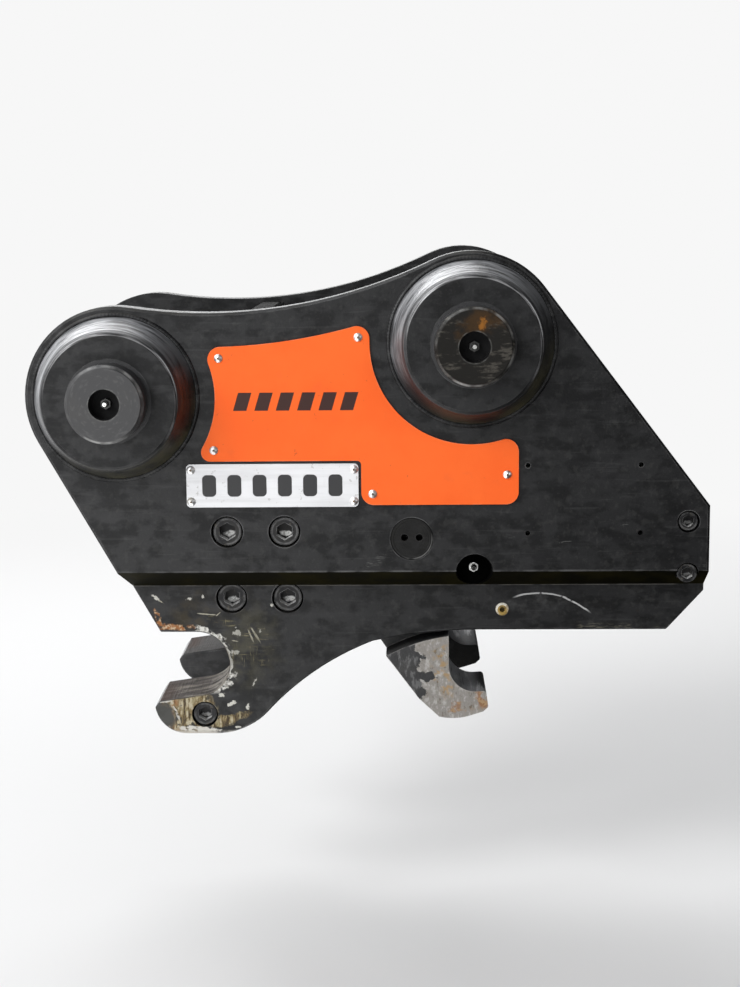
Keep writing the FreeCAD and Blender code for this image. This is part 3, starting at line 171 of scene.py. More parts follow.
# --- Ear plates ---------------------------------------------------------------------------------
# Flame-cut steel plate, 38 mm thick, shot-blasted and sprayed black. Handling has polished the
# broken outer edge, and the upper edge of the bevelled foot is lighter with polish and painted
# highlight. The foot's downward-facing bevel and the notch round the hook pivot are darkened as
# painted shade, and dust settles on what faces up.
class Finish:
    """A material laid on in coats. Each method adds one node and gives back what it puts out."""

    def __init__(self, name, colour, rough, metal=0.0, specular=0.5):
        self.material = bpy.data.materials.new(name)
        self.material.use_nodes = True
        self.tree = self.material.node_tree
        self.shader = self.tree.nodes["Principled BSDF"]
        place = self.tree.nodes.new("ShaderNodeTexCoord")
        self.at, self.facing = place.outputs["Object"], place.outputs["Normal"]
        self.x, self.y, self.z = self.parts(self.at)
        self.colour, self.rough, self.metal = (*colour, 1), rough, metal
        self.shine, self.relief = specular, []

    def add(self, kind, *values, out=0, **settings):
        node = self.tree.nodes.new(kind)
        for key, value in settings.items():
            setattr(node, key, value)
        for socket, value in enumerate(values):
            self.feed(node.inputs[socket], value)
        return node.outputs[out]

    def feed(self, socket, value):
        if isinstance(value, bpy.types.NodeSocket):
            self.tree.links.new(value, socket)
        elif value is not None:
            socket.default_value = value

    def parts(self, vector):
        return self.add("ShaderNodeSeparateXYZ", vector).node.outputs[:3]

    def math(self, operation, a, b=0.0):
        return self.add("ShaderNodeMath", a, b, operation=operation)

    def aside(self):
        """Distance from the plane midway between the two sides."""
        return self.math("ABSOLUTE", self.y)

    def both(self, *masks):
        total = masks[0]
        for mask in masks[1:]:
            total = self.math("MULTIPLY", total, mask)
        return total

    def either(self, *masks):
        total = masks[0]
        for mask in masks[1:]:
            total = self.math("MAXIMUM", total, mask)
        return total

    def fade(self, value, start, end, low=0.0, high=1.0):
        """Rises smoothly from low at start to high at end."""
        return self.add("ShaderNodeMapRange", value, start, end, low, high, interpolation_type="SMOOTHSTEP")

    def noise(self, scale, stretch=(1, 1, 1), detail=4.0, rough=0.55, turn=0.0):
        at = self.add("ShaderNodeMapping", self.at, None, (0, turn, 0), stretch)
        grain = self.add("ShaderNodeTexNoise", at).node
        grain.inputs["Scale"].default_value = scale
        grain.inputs["Detail"].default_value = detail
        grain.inputs["Roughness"].default_value = rough
        return grain.outputs["Fac"]

    def blots(self, scale, start, end, **kind):
        return self.fade(self.noise(scale, **kind), start, end)

    def away(self, x, z):
        """Distance from an axis along Y."""
        flat = self.add("ShaderNodeVectorMath", self.at, (1, 0, 1), operation="MULTIPLY")
        return self.add("ShaderNodeVectorMath", flat, (x, 0, z), out="Value", operation="DISTANCE")

    def rings(self, x, z, scale):
        """Fine rings round an axis along Y, as a lathe leaves them."""
        grain = self.add("ShaderNodeTexNoise", noise_dimensions="1D").node
        self.feed(grain.inputs["W"], self.away(x, z))
        grain.inputs["Scale"].default_value = scale
        grain.inputs["Detail"].default_value = 3.0
        return grain.outputs["Fac"]

    def swirl(self, x, z, around, across, detail=5.0):
        """Streaks drawn out round an axis along Y, as a sling or a brush leaves them."""
        flat = self.add("ShaderNodeVectorMath", self.at, (x, 0, z), operation="SUBTRACT")
        flat = self.add("ShaderNodeVectorMath", flat, (1, 0, 1), operation="MULTIPLY")
        turn = self.add("ShaderNodeVectorMath", flat, operation="NORMALIZE")
        grain = self.add("ShaderNodeTexNoise", turn, noise_dimensions="4D").node
        self.feed(grain.inputs["W"], self.math("MULTIPLY", self.away(x, z), across / around))
        grain.inputs["Scale"].default_value = around
        grain.inputs["Detail"].default_value = detail
        return grain.outputs["Fac"]

    def band(self, value, middle, half, soft):
        """Where a value is within half of the middle."""
        off = self.math("ABSOLUTE", self.math("SUBTRACT", value, middle))
        return self.fade(off, half + soft, half)

    def towards(self, direction, start, end):
        """Where the surface faces a direction."""
        lean = self.add("ShaderNodeVectorMath", self.facing, direction, out="Value", operation="DOT_PRODUCT")
        return self.fade(lean, start, end)

    def patch(self, x, z, half_x, half_z, turn=0.0, ragged=0.35, soft=0.3):
        """An oval patch seen along Y, with a ragged edge."""
        local = self.add("ShaderNodeMapping", self.at, (x, 0, z), (0, -math.radians(turn), 0),
                         (half_x, 1e3, half_z), vector_type="TEXTURE")
        size = self.add("ShaderNodeVectorMath", local, out="Value", operation="LENGTH")
        wobble = self.fade(
            self.noise(1.5 / (half_x + half_z), detail=7.0, rough=0.62), 0.3, 0.7, -ragged, ragged)
        return self.fade(self.math("ADD", size, wobble), 1.0 + soft, 1.0 - soft)

    def stroke(self, x0, z0, x1, z1, width, **kind):
        """A patch drawn out from one point to another."""
        length, turn = math.hypot(x1 - x0, z1 - z0), math.degrees(math.atan2(z1 - z0, x1 - x0))
        return self.patch((x0 + x1) / 2, (z0 + z1) / 2, length / 2, width / 2, turn, **kind)

    def edges(self, radius, start=0.985, end=0.85):
        """Where the surface turns a corner within the radius."""
        eased = self.add("ShaderNodeBevel", radius, samples=6)
        true = self.add("ShaderNodeNewGeometry", out="Normal")
        turned = self.add("ShaderNodeVectorMath", eased, true, out="Value", operation="DOT_PRODUCT")
        return self.fade(turned, start, end)

    def coat(self, mask, colour=None, rough=None, metal=None, shine=None):
        """Lays another colour, roughness, metal or shine over what is there, where the mask is 1.

        Several masks in brackets are multiplied.
        """
        if isinstance(mask, tuple):
            mask = self.both(*mask)
        if colour is not None:
            mix = self.tree.nodes.new("ShaderNodeMix")
            mix.data_type = "RGBA"
            self.feed(mix.inputs[0], mask)
            self.feed(mix.inputs[6], self.colour)
            self.feed(mix.inputs[7], (*colour, 1) if isinstance(colour, tuple) else colour)
            self.colour = mix.outputs[2]
        if rough is not None:
            self.rough = self.add("ShaderNodeMix", mask, None, self.rough, rough)
        if metal is not None:
            self.metal = self.add("ShaderNodeMix", mask, None, self.metal, metal)
        if shine is not None:
            self.shine = self.add("ShaderNodeMix", mask, None, self.shine, shine)

    def raise_by(self, height, depth):
        """Relief: the height from 0 to 1, and how deep that is in metres."""
        self.relief.append((height, depth))

    def dress(self, *names):
        normal = None
        for height, depth in self.relief:
            bump = self.tree.nodes.new("ShaderNodeBump")
            bump.inputs["Distance"].default_value = depth
            self.feed(bump.inputs["Height"], height)
            self.feed(bump.inputs["Normal"], normal)
            normal = bump.outputs[0]
        self.feed(self.shader.inputs["Base Color"], self.colour)
        self.feed(self.shader.inputs["Roughness"], self.rough)
        self.feed(self.shader.inputs["Metallic"], self.metal)
        self.feed(self.shader.inputs["Specular IOR Level"], self.shine)
        self.feed(self.shader.inputs["Normal"], normal)
        for name in names:
            mesh = bpy.data.objects[name].data
            mesh.materials.clear()
            mesh.materials.append(self.material)


def black_paint(name, wear=1.0):
    """Sprayed black over blasted plate, with cut edges, rubbed corners and settled dust."""
    paint = Finish(name, (0.0048, 0.0049, 0.0054), 0.44, specular=0.34)
    paint.coat(paint.blots(9.0, 0.35, 0.7), (0.0085, 0.0086, 0.0092), rough=0.52)
    paint.coat(paint.blots(38.0, 0.44, 0.60, stretch=(1, 1, 1.6), detail=8.0), (0.0036, 0.0037, 0.0040),
               shine=0.235)
    paint.coat((paint.blots(95.0, 0.54, 0.66, detail=8.0), 0.35 * wear), (0.030, 0.030, 0.029))
    paint.coat((paint.blots(26.0, 0.50, 0.72, stretch=(0.35, 1, 2.2), turn=0.5), 0.45),
               (0.016, 0.016, 0.017), rough=0.36)
    paint.coat((paint.blots(60.0, 0.60, 0.68, stretch=(0.20, 1, 3.0), turn=-0.10), 0.10 * wear),
               (0.10, 0.10, 0.10), rough=0.5)
    paint.coat((paint.blots(240.0, 0.60, 0.66, detail=5.0), 0.35), (0.026, 0.025, 0.024), rough=0.7)
    paint.raise_by(paint.noise(420.0, detail=3.0), 0.00012)
    paint.raise_by(paint.noise(34.0, detail=5.0), 0.0006)
    across = paint.math("ABSOLUTE", paint.parts(paint.facing)[1])
    cut = paint.fade(across, 0.35, 0.10)
    drag = paint.noise(70.0, stretch=(6, 0.25, 6), detail=3.0)
    paint.raise_by(paint.both(cut, drag), 0.0011)
    up = paint.fade(paint.parts(paint.facing)[2], 0.35, 0.95)
    paint.coat((up, paint.blots(18.0, 0.34, 0.75), 0.24), (0.17, 0.16, 0.14), rough=0.8)
    rubbed = paint.both(paint.edges(0.0026), paint.blots(38.0, 0.40, 0.62, detail=6.0))
    paint.coat((rubbed, 0.55 * wear), (0.22, 0.22, 0.22), rough=0.38, metal=0.4)
    return paint


def centre(node):
    low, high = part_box(node)
    return (low + high) / 2


EAR_FOOT = 0.1246
pivot = centre("hook_pivot_pin")
paint = black_paint("ear_paint")
# Painted shade: the downward-facing bevel of the foot is darker and dull, tinted brown, with brown blots.
bevel = paint.both(paint.fade(paint.z, EAR_FOOT, EAR_FOOT - 0.0008), paint.towards((0, 0, -1), 0.3, 0.5))
paint.coat(bevel, (0.0026, 0.0023, 0.0004), rough=0.75, shine=0.05)
brown = paint.both(bevel, paint.blots(22.0, 0.40, 0.66))
paint.coat((brown, 0.6), (0.011, 0.009, 0.001), rough=0.8)
# Painted shade: the notch round the hook pivot is near-black and dull.
notch = paint.fade(paint.away(pivot.x, pivot.z), 0.0227, 0.0223)
paint.coat(notch, (0.0010, 0.0010, 0.0009), rough=0.9, shine=0.03)
# Part polish, part painted highlight: a lighter line along the bevel's upper edge.
foot_line = paint.both(
    paint.band(paint.z, EAR_FOOT, 0.0006, 0.0012), paint.blots(34.0, 0.40, 0.60, detail=6.0))
paint.coat((foot_line, 0.3), (0.18, 0.18, 0.18), rough=0.45)
KNOCKS = (
    ((0.212, 0.132, 0.238, 0.143), 0.0080), ((0.610, 0.1290, 0.624, 0.1305), 0.0030),
    ((0.518, 0.1812, 0.527, 0.1815), 0.0034), ((0.446, 0.1600, 0.457, 0.1606), 0.0030),
    ((0.380, 0.1665, 0.392, 0.1670), 0.0026))
knocks = [paint.stroke(*ends, width, ragged=0.8, soft=0.5) for ends, width in KNOCKS]
knocks = paint.both(
    paint.either(*knocks), paint.blots(330.0, 0.50, 0.62, stretch=(0.25, 1, 2.4), turn=-0.35),
    paint.fade(paint.y, 0.0, -0.01))
paint.coat((knocks, 0.6), (0.13, 0.13, 0.125), rough=0.5)


def centres(node):
    """The middle of each separate solid of a node, seen along Y, and the solids' front."""
    bm = bmesh.new()
    bm.from_mesh(bpy.data.objects[node].data)
    bmesh.ops.remove_doubles(bm, verts=bm.verts, dist=1e-6)
    left, found = set(bm.verts), []
    while left:
        solid, edge_on = set(), [left.pop()]
        while edge_on:
            vert = edge_on.pop()
            solid.add(vert)
            linked = {edge.other_vert(vert) for edge in vert.link_edges} & left
            left -= linked
            edge_on.extend(linked)
        xs, ys, zs = zip(*(vert.co for vert in solid))
        found.append(Vector(((min(xs) + max(xs)) / 2, min(ys), (min(zs) + max(zs)) / 2)))
    bm.free()
    return sorted(found, key=tuple)


SCREW_WELLS = (
    ("front_block_screws_near", 0.0195), ("rear_block_screws_near", 0.0135), ("jaw_screw_near", 0.0165))
screw_wells = [(spot, radius) for screws, radius in SCREW_WELLS for spot in centres(screws)]


def shade_wells(paint, piece):
    """Painted shade and grit in the gap between each screw's head and its counterbore, in the piece's outer
    face.
    """
    face = -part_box(piece)[0].y
    wells = [paint.fade(paint.away(spot.x, spot.z), radius, radius - 0.0004) for spot, radius in screw_wells]
    sunk = paint.fade(paint.aside(), face - 0.012, face - 0.011)
    paint.coat((paint.either(*wells), sunk), (0.0012, 0.0012, 0.0011), rough=0.9, shine=0.03)


shade_wells(paint, "ear_plate_near")
paint.dress("ear_plate_near", "ear_plate_far")


# --- Bosses -------------------------------------------------------------------------------------
# Cones turned from round bar, welded round their bases to the ears and painted with them. Their
# upper halves are streaked grey, part sling scuff and part painted reflection, with painted glints
# and a painted highlight along the face's edge, and the lathe's rings show through the paint there.
def boss_paint(name, node):
    paint = black_paint(name, wear=0.7)
    low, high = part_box(node)
    middle, across, foot = (low + high) / 2, high.x - low.x, -high.y
    face_edge = across * 0.404
    away, depth = paint.away(middle.x, middle.z), paint.aside()
    cone = paint.fade(away, across * 0.405, across * 0.42)
    rings = paint.rings(middle.x, middle.z, 520.0)
    streaks = paint.swirl(middle.x, middle.z, 1.7, 420.0, detail=6.0)
    over = paint.towards((-0.42, 0, 0.91), -0.35, 0.60)
    paint.coat(cone, rough=0.36, shine=0.55)
    # Part scuff, part painted reflection: grey streaks on the flank that faces up and to the left.
    scuff_and_sheen = paint.both(cone, over, paint.fade(streaks, 0.28, 0.56))
    paint.coat((scuff_and_sheen, 0.9), (0.150, 0.154, 0.162), rough=0.42, metal=0.1)
    fine = paint.swirl(middle.x, middle.z, 3.4, 760.0, detail=5.0)
    # Painted highlight: pale glints on the upper-left flank.
    glint = paint.both(
        cone, paint.towards((-0.60, 0, 0.80), 0.0, 0.90), paint.fade(fine, 0.36, 0.64),
        paint.fade(streaks, 0.30, 0.58))
    paint.coat((glint, 0.85), (0.46, 0.465, 0.48), rough=0.42, metal=0.15)
    shade = paint.both(cone, paint.fade(fine, 0.42, 0.32))
    paint.coat((shade, 0.55), (0.030, 0.030, 0.032), rough=0.5)
    # Painted shade: the cone's downward-facing lower right is tinted olive-brown.
    underside_shade = paint.both(paint.towards((0.50, 0, -0.86), 0.10, 0.95), cone, paint.blots(20.0, 0.30, 0.62))
    paint.coat((underside_shade, 0.75), (0.040, 0.036, 0.014), rough=0.62)
    # Painted dark reflection: a darker ring just outside the face's edge, broken by the streaks.
    inset = paint.both(paint.band(away, face_edge + 0.0030, 0.0010, 0.0012), paint.fade(streaks, 0.36, 0.50))
    paint.coat((inset, cone, 0.9), (0.008, 0.008, 0.009), rough=0.6)
    # Painted highlight: a bright line along the face's edge, mostly across the top.
    rim_highlight = paint.both(paint.band(away, face_edge, 0.0008, 0.0010),
                     paint.fade(depth, foot + 0.0415, foot + 0.0430), paint.fade(streaks, 0.38, 0.58),
                     paint.patch(middle.x + 0.010, middle.z + 0.050, 0.100, 0.058, turn=-20, soft=0.7))
    paint.coat((rim_highlight, 0.75), (0.50, 0.50, 0.51), rough=0.4, metal=0.3)
    paint.coat((paint.fade(depth, foot + 0.0016, foot), 0.9), (0.004, 0.004, 0.004), rough=0.7)
    paint.raise_by(paint.both(cone, rings), 0.00012)
    paint.raise_by(paint.both(cone, streaks), 0.0008)
    return paint


for at in ("arm", "link"):
    boss_paint(at + "_boss_paint", at + "_boss_near").dress(at + "_boss_near", at + "_boss_far")


def weld_bead(name, path, size, finish, closed=False, pitch=0.0042, sides=10):
    """A rippled bead laid along a path that lies square to Y."""
    along_y = Vector((0, 1, 0))
    bm = bmesh.new()
    loops, run = [], 0.0
    for step, point in enumerate(path):
        before = path[step - 1] if step or closed else point
        after = path[(step + 1) % len(path)] if closed or step + 1 < len(path) else point
        run += (point - before).length
        out = (after - before).normalized().cross(along_y)
        ripple = 1 + 0.11 * abs(math.sin(math.pi * run / pitch))
        ripple += 0.07 * math.sin(run * 61) * math.sin(run * 173)
        turns = [math.tau * side / sides for side in range(sides)]
        rays = [math.cos(t) * out + math.sin(t) * along_y for t in turns]
        loops.append([bm.verts.new(point + size * ripple * ray) for ray in rays])
    for near, far in zip(loops, loops[1:] + loops[:1] if closed else loops[1:]):
        for side in range(sides):
            bm.faces.new((near[side], near[side - 1], far[side - 1], far[side]))
    if not closed:
        bm.faces.new(loops[0])
        bm.faces.new(loops[-1][::-1])
    bmesh.ops.recalc_face_normals(bm, faces=bm.faces)
    bead = bpy.data.objects.new(name, bpy.data.meshes.new(name))
    bm.to_mesh(bead.data)
    bm.free()
    for face in bead.data.polygons:
        face.use_smooth = True
    bpy.context.scene.collection.objects.link(bead)
    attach(bead, "frame")
    finish.dress(name)


def arc_path(middle, radius, start, end, y, step=0.0011):
    """Points on an arc about an axis along Y, from one angle to another in degrees."""
    count = max(8, round(abs(math.radians(end - start)) * radius / step))
    turns = [math.radians(start + (end - start) * i / count) for i in range(count + 1)]
    return [Vector((middle.x + radius * math.cos(t), y, middle.z + radius * math.sin(t))) for t in turns]


bead_paint = black_paint("bead_paint", wear=1.6)
for at in ("arm", "link"):
    low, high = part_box(at + "_boss_near")
    for side, face in (("near", high.y), ("far", -high.y)):
        seam = arc_path((low + high) / 2, (high.x - low.x) / 2 + 0.0008, 0, 360, face)[:-1]
        weld_bead(f"{at}_boss_bead_{side}", seam, 0.0030, bead_paint, closed=True)


# --- Bushes -------------------------------------------------------------------------------------
# Bronze sleeves pressed through ear and boss, and through the movable hook's hub. Their outer
# ends were painted over together with the bosses.
def bronze(name):
    metal = Finish(name, (0.38, 0.22, 0.085), 0.36, metal=1.0)
    metal.coat(metal.blots(30.0, 0.40, 0.70), (0.20, 0.12, 0.05), rough=0.5)
    metal.coat((metal.blots(70.0, 0.56, 0.70), 0.6), (0.02, 0.018, 0.014), rough=0.35, metal=0.2)
    metal.raise_by(metal.noise(260.0), 0.0003)
    return metal


pin_bush = bronze("pin_bush")
boss_end = -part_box("arm_boss_near")[0].y
pin_bush.coat(
    pin_bush.fade(pin_bush.aside(), boss_end - 0.0008, boss_end - 0.0002), (0.016, 0.016, 0.017), rough=0.5,
    metal=0.0)
pin_bush.dress("arm_bush_near", "arm_bush_far", "link_bush_near", "link_bush_far")
bronze("sliding_bronze").dress("hook_bush_near", "hook_bush_far", "barrel_bush")


# --- Machine pins, collars and their bolts --------------------------------------------------------
# Hardened, ground pins with a film of grease between the ears. The painted heads are turned, with
# worn rims that carry painted highlight arcs, and their sunk middles are painted near-black and
# dull. Rust has started on the link pin's head.
def pin_finish(name, node, rusty):
    low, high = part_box(node)
    middle, reach = (low + high) / 2, (high.x - low.x) / 2
    steel = Finish(name, (0.44, 0.435, 0.425), 0.24, metal=1.0)
    away, rings = steel.away(middle.x, middle.z), steel.rings(middle.x, middle.z, 760.0)
    steel.coat((steel.blots(16.0, 0.38, 0.66, stretch=(1, 0.3, 1)), 0.8), (0.13, 0.11, 0.075), rough=0.42)
    steel.coat((steel.blots(34.0, 0.55, 0.68), 0.7), (0.035, 0.030, 0.022), rough=0.30, metal=0.3)
    head = steel.either(
        steel.fade(steel.y, low.y + 0.0345, low.y + 0.0335),
        steel.fade(steel.y, boss_end, boss_end + 0.001))
    steel.coat(head, (0.021, 0.021, 0.022), rough=0.46, metal=0.0)
    face = steel.fade(steel.y, low.y + 0.010, low.y + 0.006)
    steel.coat((face, steel.blots(19.0, 0.42, 0.66, detail=6.0), 0.7), (0.030, 0.029, 0.028), rough=0.5)
    brushed = steel.swirl(middle.x, middle.z, 4.0, 300.0, detail=6.0)
    steel.coat((face, steel.fade(brushed, 0.52, 0.66), 0.30), (0.10, 0.10, 0.10), rough=0.42, metal=0.2)
    if rusty:
        steel.coat(face, (0.0075, 0.0068, 0.0056), rough=0.6, shine=0.16)
        smears = steel.noise(75.0, stretch=(0.45, 1, 1.5), detail=8.0, rough=0.66, turn=0.5)
        steel.coat((face, steel.fade(smears, 0.53, 0.64)), (0.060, 0.055, 0.047), rough=0.45, metal=0.2)
        steel.coat((face, steel.fade(smears, 0.45, 0.38)), (0.007, 0.006, 0.005), rough=0.6)
        bloom = steel.both(
            face, steel.patch(middle.x + 0.012, middle.z + 0.027, 0.022, 0.012, turn=10, ragged=0.8,
                              soft=0.7))
        steel.coat((bloom, 0.75), (0.050, 0.026, 0.009), rough=0.8)
        core = steel.both(
            face, steel.patch(middle.x + 0.009, middle.z + 0.027, 0.0034, 0.0056, ragged=0.7, soft=0.6))
        steel.coat((core, 0.9), (0.27, 0.105, 0.018), rough=0.9)
    worn = steel.fade(steel.swirl(middle.x, middle.z, 2.4, 60.0, detail=7.0), 0.32, 0.72)
    # Painted highlight: bright arcs on the face's rim, at the upper right and below, in worn streaks.
    rim_highlight = steel.both(steel.band(away, reach - 0.0018, 0.0007, 0.0012), face, worn)
    lit = steel.either(
        steel.patch(middle.x + 0.020, middle.z + 0.030, 0.042, 0.026, turn=-40, soft=0.6),
        steel.patch(middle.x - 0.006, middle.z - 0.044, 0.024, 0.010, soft=0.6), 0.45 if rusty else 0.0)
    steel.coat((rim_highlight, lit, 0.85), (0.36, 0.36, 0.35), rough=0.36, metal=0.4)
    # The sunk middle of the head is painted near-black and dull.
    pocket = steel.both(steel.fade(away, 0.0188, 0.0176), steel.fade(steel.y, low.y + 0.0215, low.y + 0.0190))
    steel.coat(pocket, (0.0008, 0.0008, 0.0008), rough=0.9, metal=0.0, shine=0.05)
    lip = steel.both(
        steel.band(away, 0.0186, 0.0005, 0.0006), steel.fade(steel.y, low.y + 0.002, low.y + 0.001), worn)
    steel.coat((lip, 0.4), (0.20, 0.20, 0.19), rough=0.4, metal=0.4)
    steel.raise_by(steel.both(face, rings), 0.00006)
    steel.raise_by(steel.noise(300.0), 0.00008)
    return steel


pin_finish("arm_pin_steel", "arm_pin", rusty=False).dress("arm_pin")
pin_finish("link_pin_steel", "link_pin", rusty=True).dress("link_pin")

black_paint("collar_paint", wear=1.5).dress("arm_pin_collar", "link_pin_collar")


def plated(name, colour=(0.56, 0.55, 0.50), rough=0.32):
    """Zinc plate that is dulling, with grime in its hollows."""
    zinc = Finish(name, colour, rough, metal=1.0)
    zinc.coat(zinc.blots(45.0, 0.36, 0.68, detail=6.0), tuple(0.62 * c for c in colour), rough=0.52)
    zinc.coat((zinc.blots(110.0, 0.56, 0.66), 0.7), (0.20, 0.18, 0.13), rough=0.7, metal=0.3)
    zinc.raise_by(zinc.noise(700.0), 0.00006)
    return zinc


plated("zinc_bolts").dress("pin_collar_bolts", "rod_pin_rings", "barrel_pin_rings")

steel = plated("nipple_steel", (0.66, 0.66, 0.64), 0.26)
steel.coat((steel.blots(160.0, 0.50, 0.64), 0.8), (0.03, 0.028, 0.022), rough=0.4, metal=0.2)
sunk = steel.math("SUBTRACT", -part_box("arm_pin")[0].y, steel.aside())
# Darker where the nipples sit deep in the pins' pockets.
sunk_dark = steel.both(steel.fade(sunk, 0.0085, 0.0125), steel.fade(sunk, 0.040, 0.030))
steel.coat((sunk_dark, 0.93), (0.010, 0.010, 0.009), rough=0.4, metal=0.1)
steel.dress("pin_nipples")
wiped = plated("wiped_nipple", (0.86, 0.86, 0.84), 0.30)
ring = wiped.away(pivot.x, pivot.z)
# Painted shade: the nipple below its head, down in the notch, is dark.
wiped.coat(wiped.fade(ring, 0.0056, 0.0062), (0.012, 0.012, 0.011), rough=0.5, metal=0.1)
wiped.coat(wiped.fade(ring, 0.0026, 0.0020), (0.010, 0.009, 0.008), rough=0.4, metal=0.1)
wiped.dress("pivot_nipple_near", "pivot_nipple_far")


# --- Hook plates and jaw blocks ---------------------------------------------------------------------
# Flame-cut plates of wear steel, painted black. Bucket pins have dragged the paint off the fixed
# jaw's lips and seat, down to bright and then rusting steel, and chipped the plate beside them.
def jaw_paint(name):
    paint = black_paint(name, wear=1.0)
    face = -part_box("hook_plate_near")[0].y
    side = paint.fade(paint.aside(), face - 0.0015, face - 0.0002)
    near = paint.both(side, paint.fade(paint.y, 0.0, -0.01))
    away = paint.away(0.0, 0.0)
    inside = paint.both(paint.fade(away, 0.0445, 0.0412), paint.fade(side, 0.6, 0.2))
    flat_lips = paint.both(
        paint.fade(away, 0.075, 0.066), paint.fade(side, 0.6, 0.2), paint.towards((0, 0, 1), 0.80, 0.95))
    under_lip = paint.both(
        paint.fade(away, 0.075, 0.066), paint.fade(side, 0.6, 0.2), paint.towards((0, 0, -1), 0.80, 0.95),
        paint.fade(paint.z, 0.030, 0.036))
    worn = paint.either(paint.both(inside, paint.towards((-0.5, 0, 0.87), -0.35, 0.35)), flat_lips)
    grain = paint.noise(95.0, stretch=(0.22, 1.0, 0.8), detail=8.0, rough=0.66)
    # Painted shade: on the far jaw the lighter steel coats go on at a tenth of their strength, so its worn
    # steel stays dark.
    bright = paint.fade(paint.y, 0.0, -0.01, 0.10, 1.0)
    paint.coat(worn, (0.040, 0.039, 0.038), rough=0.60, shine=0.04)
    paint.coat((worn, bright), (0.052, 0.043, 0.037), rough=0.58, metal=0.1)
    paint.coat((worn, bright, paint.fade(grain, 0.50, 0.60)), (0.150, 0.134, 0.112), rough=0.54, metal=0.15)
    paint.coat((worn, bright, paint.fade(grain, 0.45, 0.38)), (0.022, 0.016, 0.013), rough=0.62)
    deep = paint.both(worn, bright, paint.fade(paint.x, 0.010, 0.030), paint.fade(grain, 0.42, 0.52))
    paint.coat((deep, 0.7), (0.27, 0.25, 0.21), rough=0.55, metal=0.1)
    tips = paint.both(
        worn, paint.fade(paint.x, -0.020, -0.046), paint.blots(50.0, 0.36, 0.60, stretch=(1, 0.3, 1)))
    paint.coat((tips, 0.8), (0.060, 0.040, 0.033), rough=0.7)
    rust_lip = paint.both(under_lip, paint.blots(60.0, 0.36, 0.56, detail=6.0))
    paint.coat((rust_lip, 0.9), (0.33, 0.13, 0.035), rough=0.85)
    paint.raise_by(paint.both(worn, grain), 0.0010)
    return paint, side, near, away


paint, side, near, from_jaw = jaw_paint("plate_paint")
# Painted shade: the near hook plate's face inside the pivot notch is near-black and dull.
notch_shade = paint.both(near, paint.fade(paint.away(pivot.x, pivot.z), 0.0235, 0.0215))
paint.coat(notch_shade, (0.0010, 0.0010, 0.0009), rough=0.9, shine=0.03)
blend = paint.blots(62.0, 0.40, 0.60, detail=7.0)
warm = paint.both(near, paint.patch(0.005, 0.035, 0.030, 0.050, ragged=0.6, soft=0.8), blend)
paint.coat((warm, 0.30), (0.070, 0.052, 0.022), rough=0.6)
corner = paint.both(
    near, paint.either(paint.patch(-0.030, 0.0470, 0.020, 0.0042, turn=2, ragged=0.5),
                       paint.patch(-0.0475, 0.0580, 0.0030, 0.0110, turn=20, ragged=0.5)))
corner = paint.both(corner, paint.blots(130.0, 0.36, 0.46, detail=6.0))
paint.coat(corner, (0.30, 0.125, 0.045), rough=0.85)
crust = paint.both(corner, paint.blots(230.0, 0.48, 0.58))
paint.coat(crust, (0.52, 0.40, 0.27), rough=0.8)
frayed = paint.math("ADD", from_jaw, paint.fade(paint.noise(120.0, detail=6.0), 0.35, 0.70, 0.0, -0.0042))
brim = paint.either(
    paint.stroke(-0.004, 0.0495, 0.0150, 0.0430, 0.0048, ragged=0.7),
    paint.stroke(0.0200, 0.0390, 0.0350, 0.0270, 0.0080, ragged=0.7),
    paint.stroke(0.0380, -0.0140, 0.0500, -0.0150, 0.0080, ragged=0.7),
    paint.stroke(0.0460, -0.0200, 0.0260, -0.0360, 0.0060, ragged=0.8), paint.fade(frayed, 0.0428, 0.0420))
behind = paint.both(paint.fade(paint.x, -0.006, 0.004), paint.fade(paint.z, -0.040, -0.032))
brim = paint.both(near, behind, brim, paint.blots(150.0, 0.34, 0.46, detail=6.0))
paint.coat(brim, (0.66, 0.65, 0.61), rough=0.6)
paint.coat((brim, paint.blots(260.0, 0.50, 0.60)), (0.24, 0.23, 0.20), rough=0.6)
CHIPS = (
    (0.0090, 0.0855, 0.0020, 0.0020, 0), (-0.0075, 0.0830, 0.0030, 0.0014, 20),
    (0.0940, 0.0746, 0.0018, 0.0016, 0), (0.0500, 0.0400, 0.0034, 0.0044, 20),
    (0.0470, 0.0145, 0.0042, 0.0030, 30), (0.0705, -0.0250, 0.0050, 0.0014, 62),
    (0.0290, -0.0400, 0.0034, 0.0022, 0), (0.0421, -0.0512, 0.0044, 0.0022, 20),
    (0.0618, -0.0549, 0.0018, 0.0026, 0), (0.0492, -0.0815, 0.0026, 0.0014, 10),
    (-0.0490, 0.0840, 0.0050, 0.0014, -38), (0.0795, 0.0420, 0.0012, 0.0016, 0))
chips = [paint.patch(x, z, a, b, turn, ragged=0.8, soft=0.25) for x, z, a, b, turn in CHIPS]
SCRATCHES = (
    ((-0.0470, 0.0820, -0.0400, 0.0775), 0.0014), ((0.0650, 0.0420, 0.0712, 0.0275), 0.0018),
    ((0.0690, 0.0450, 0.0795, 0.0270), 0.0022), ((0.0016, 0.0645, 0.0230, 0.0625), 0.0016),
    ((0.0300, 0.0655, 0.0250, 0.0610), 0.0012), ((0.0440, 0.0300, 0.0520, 0.0285), 0.0014))
scratches = [paint.stroke(*ends, width, ragged=0.35, soft=0.3) for ends, width in SCRATCHES]
paint.coat((near, paint.either(*chips)), (0.56, 0.55, 0.50), rough=0.62)
paint.coat((near, paint.either(*scratches), 0.8), (0.42, 0.40, 0.32), rough=0.6)
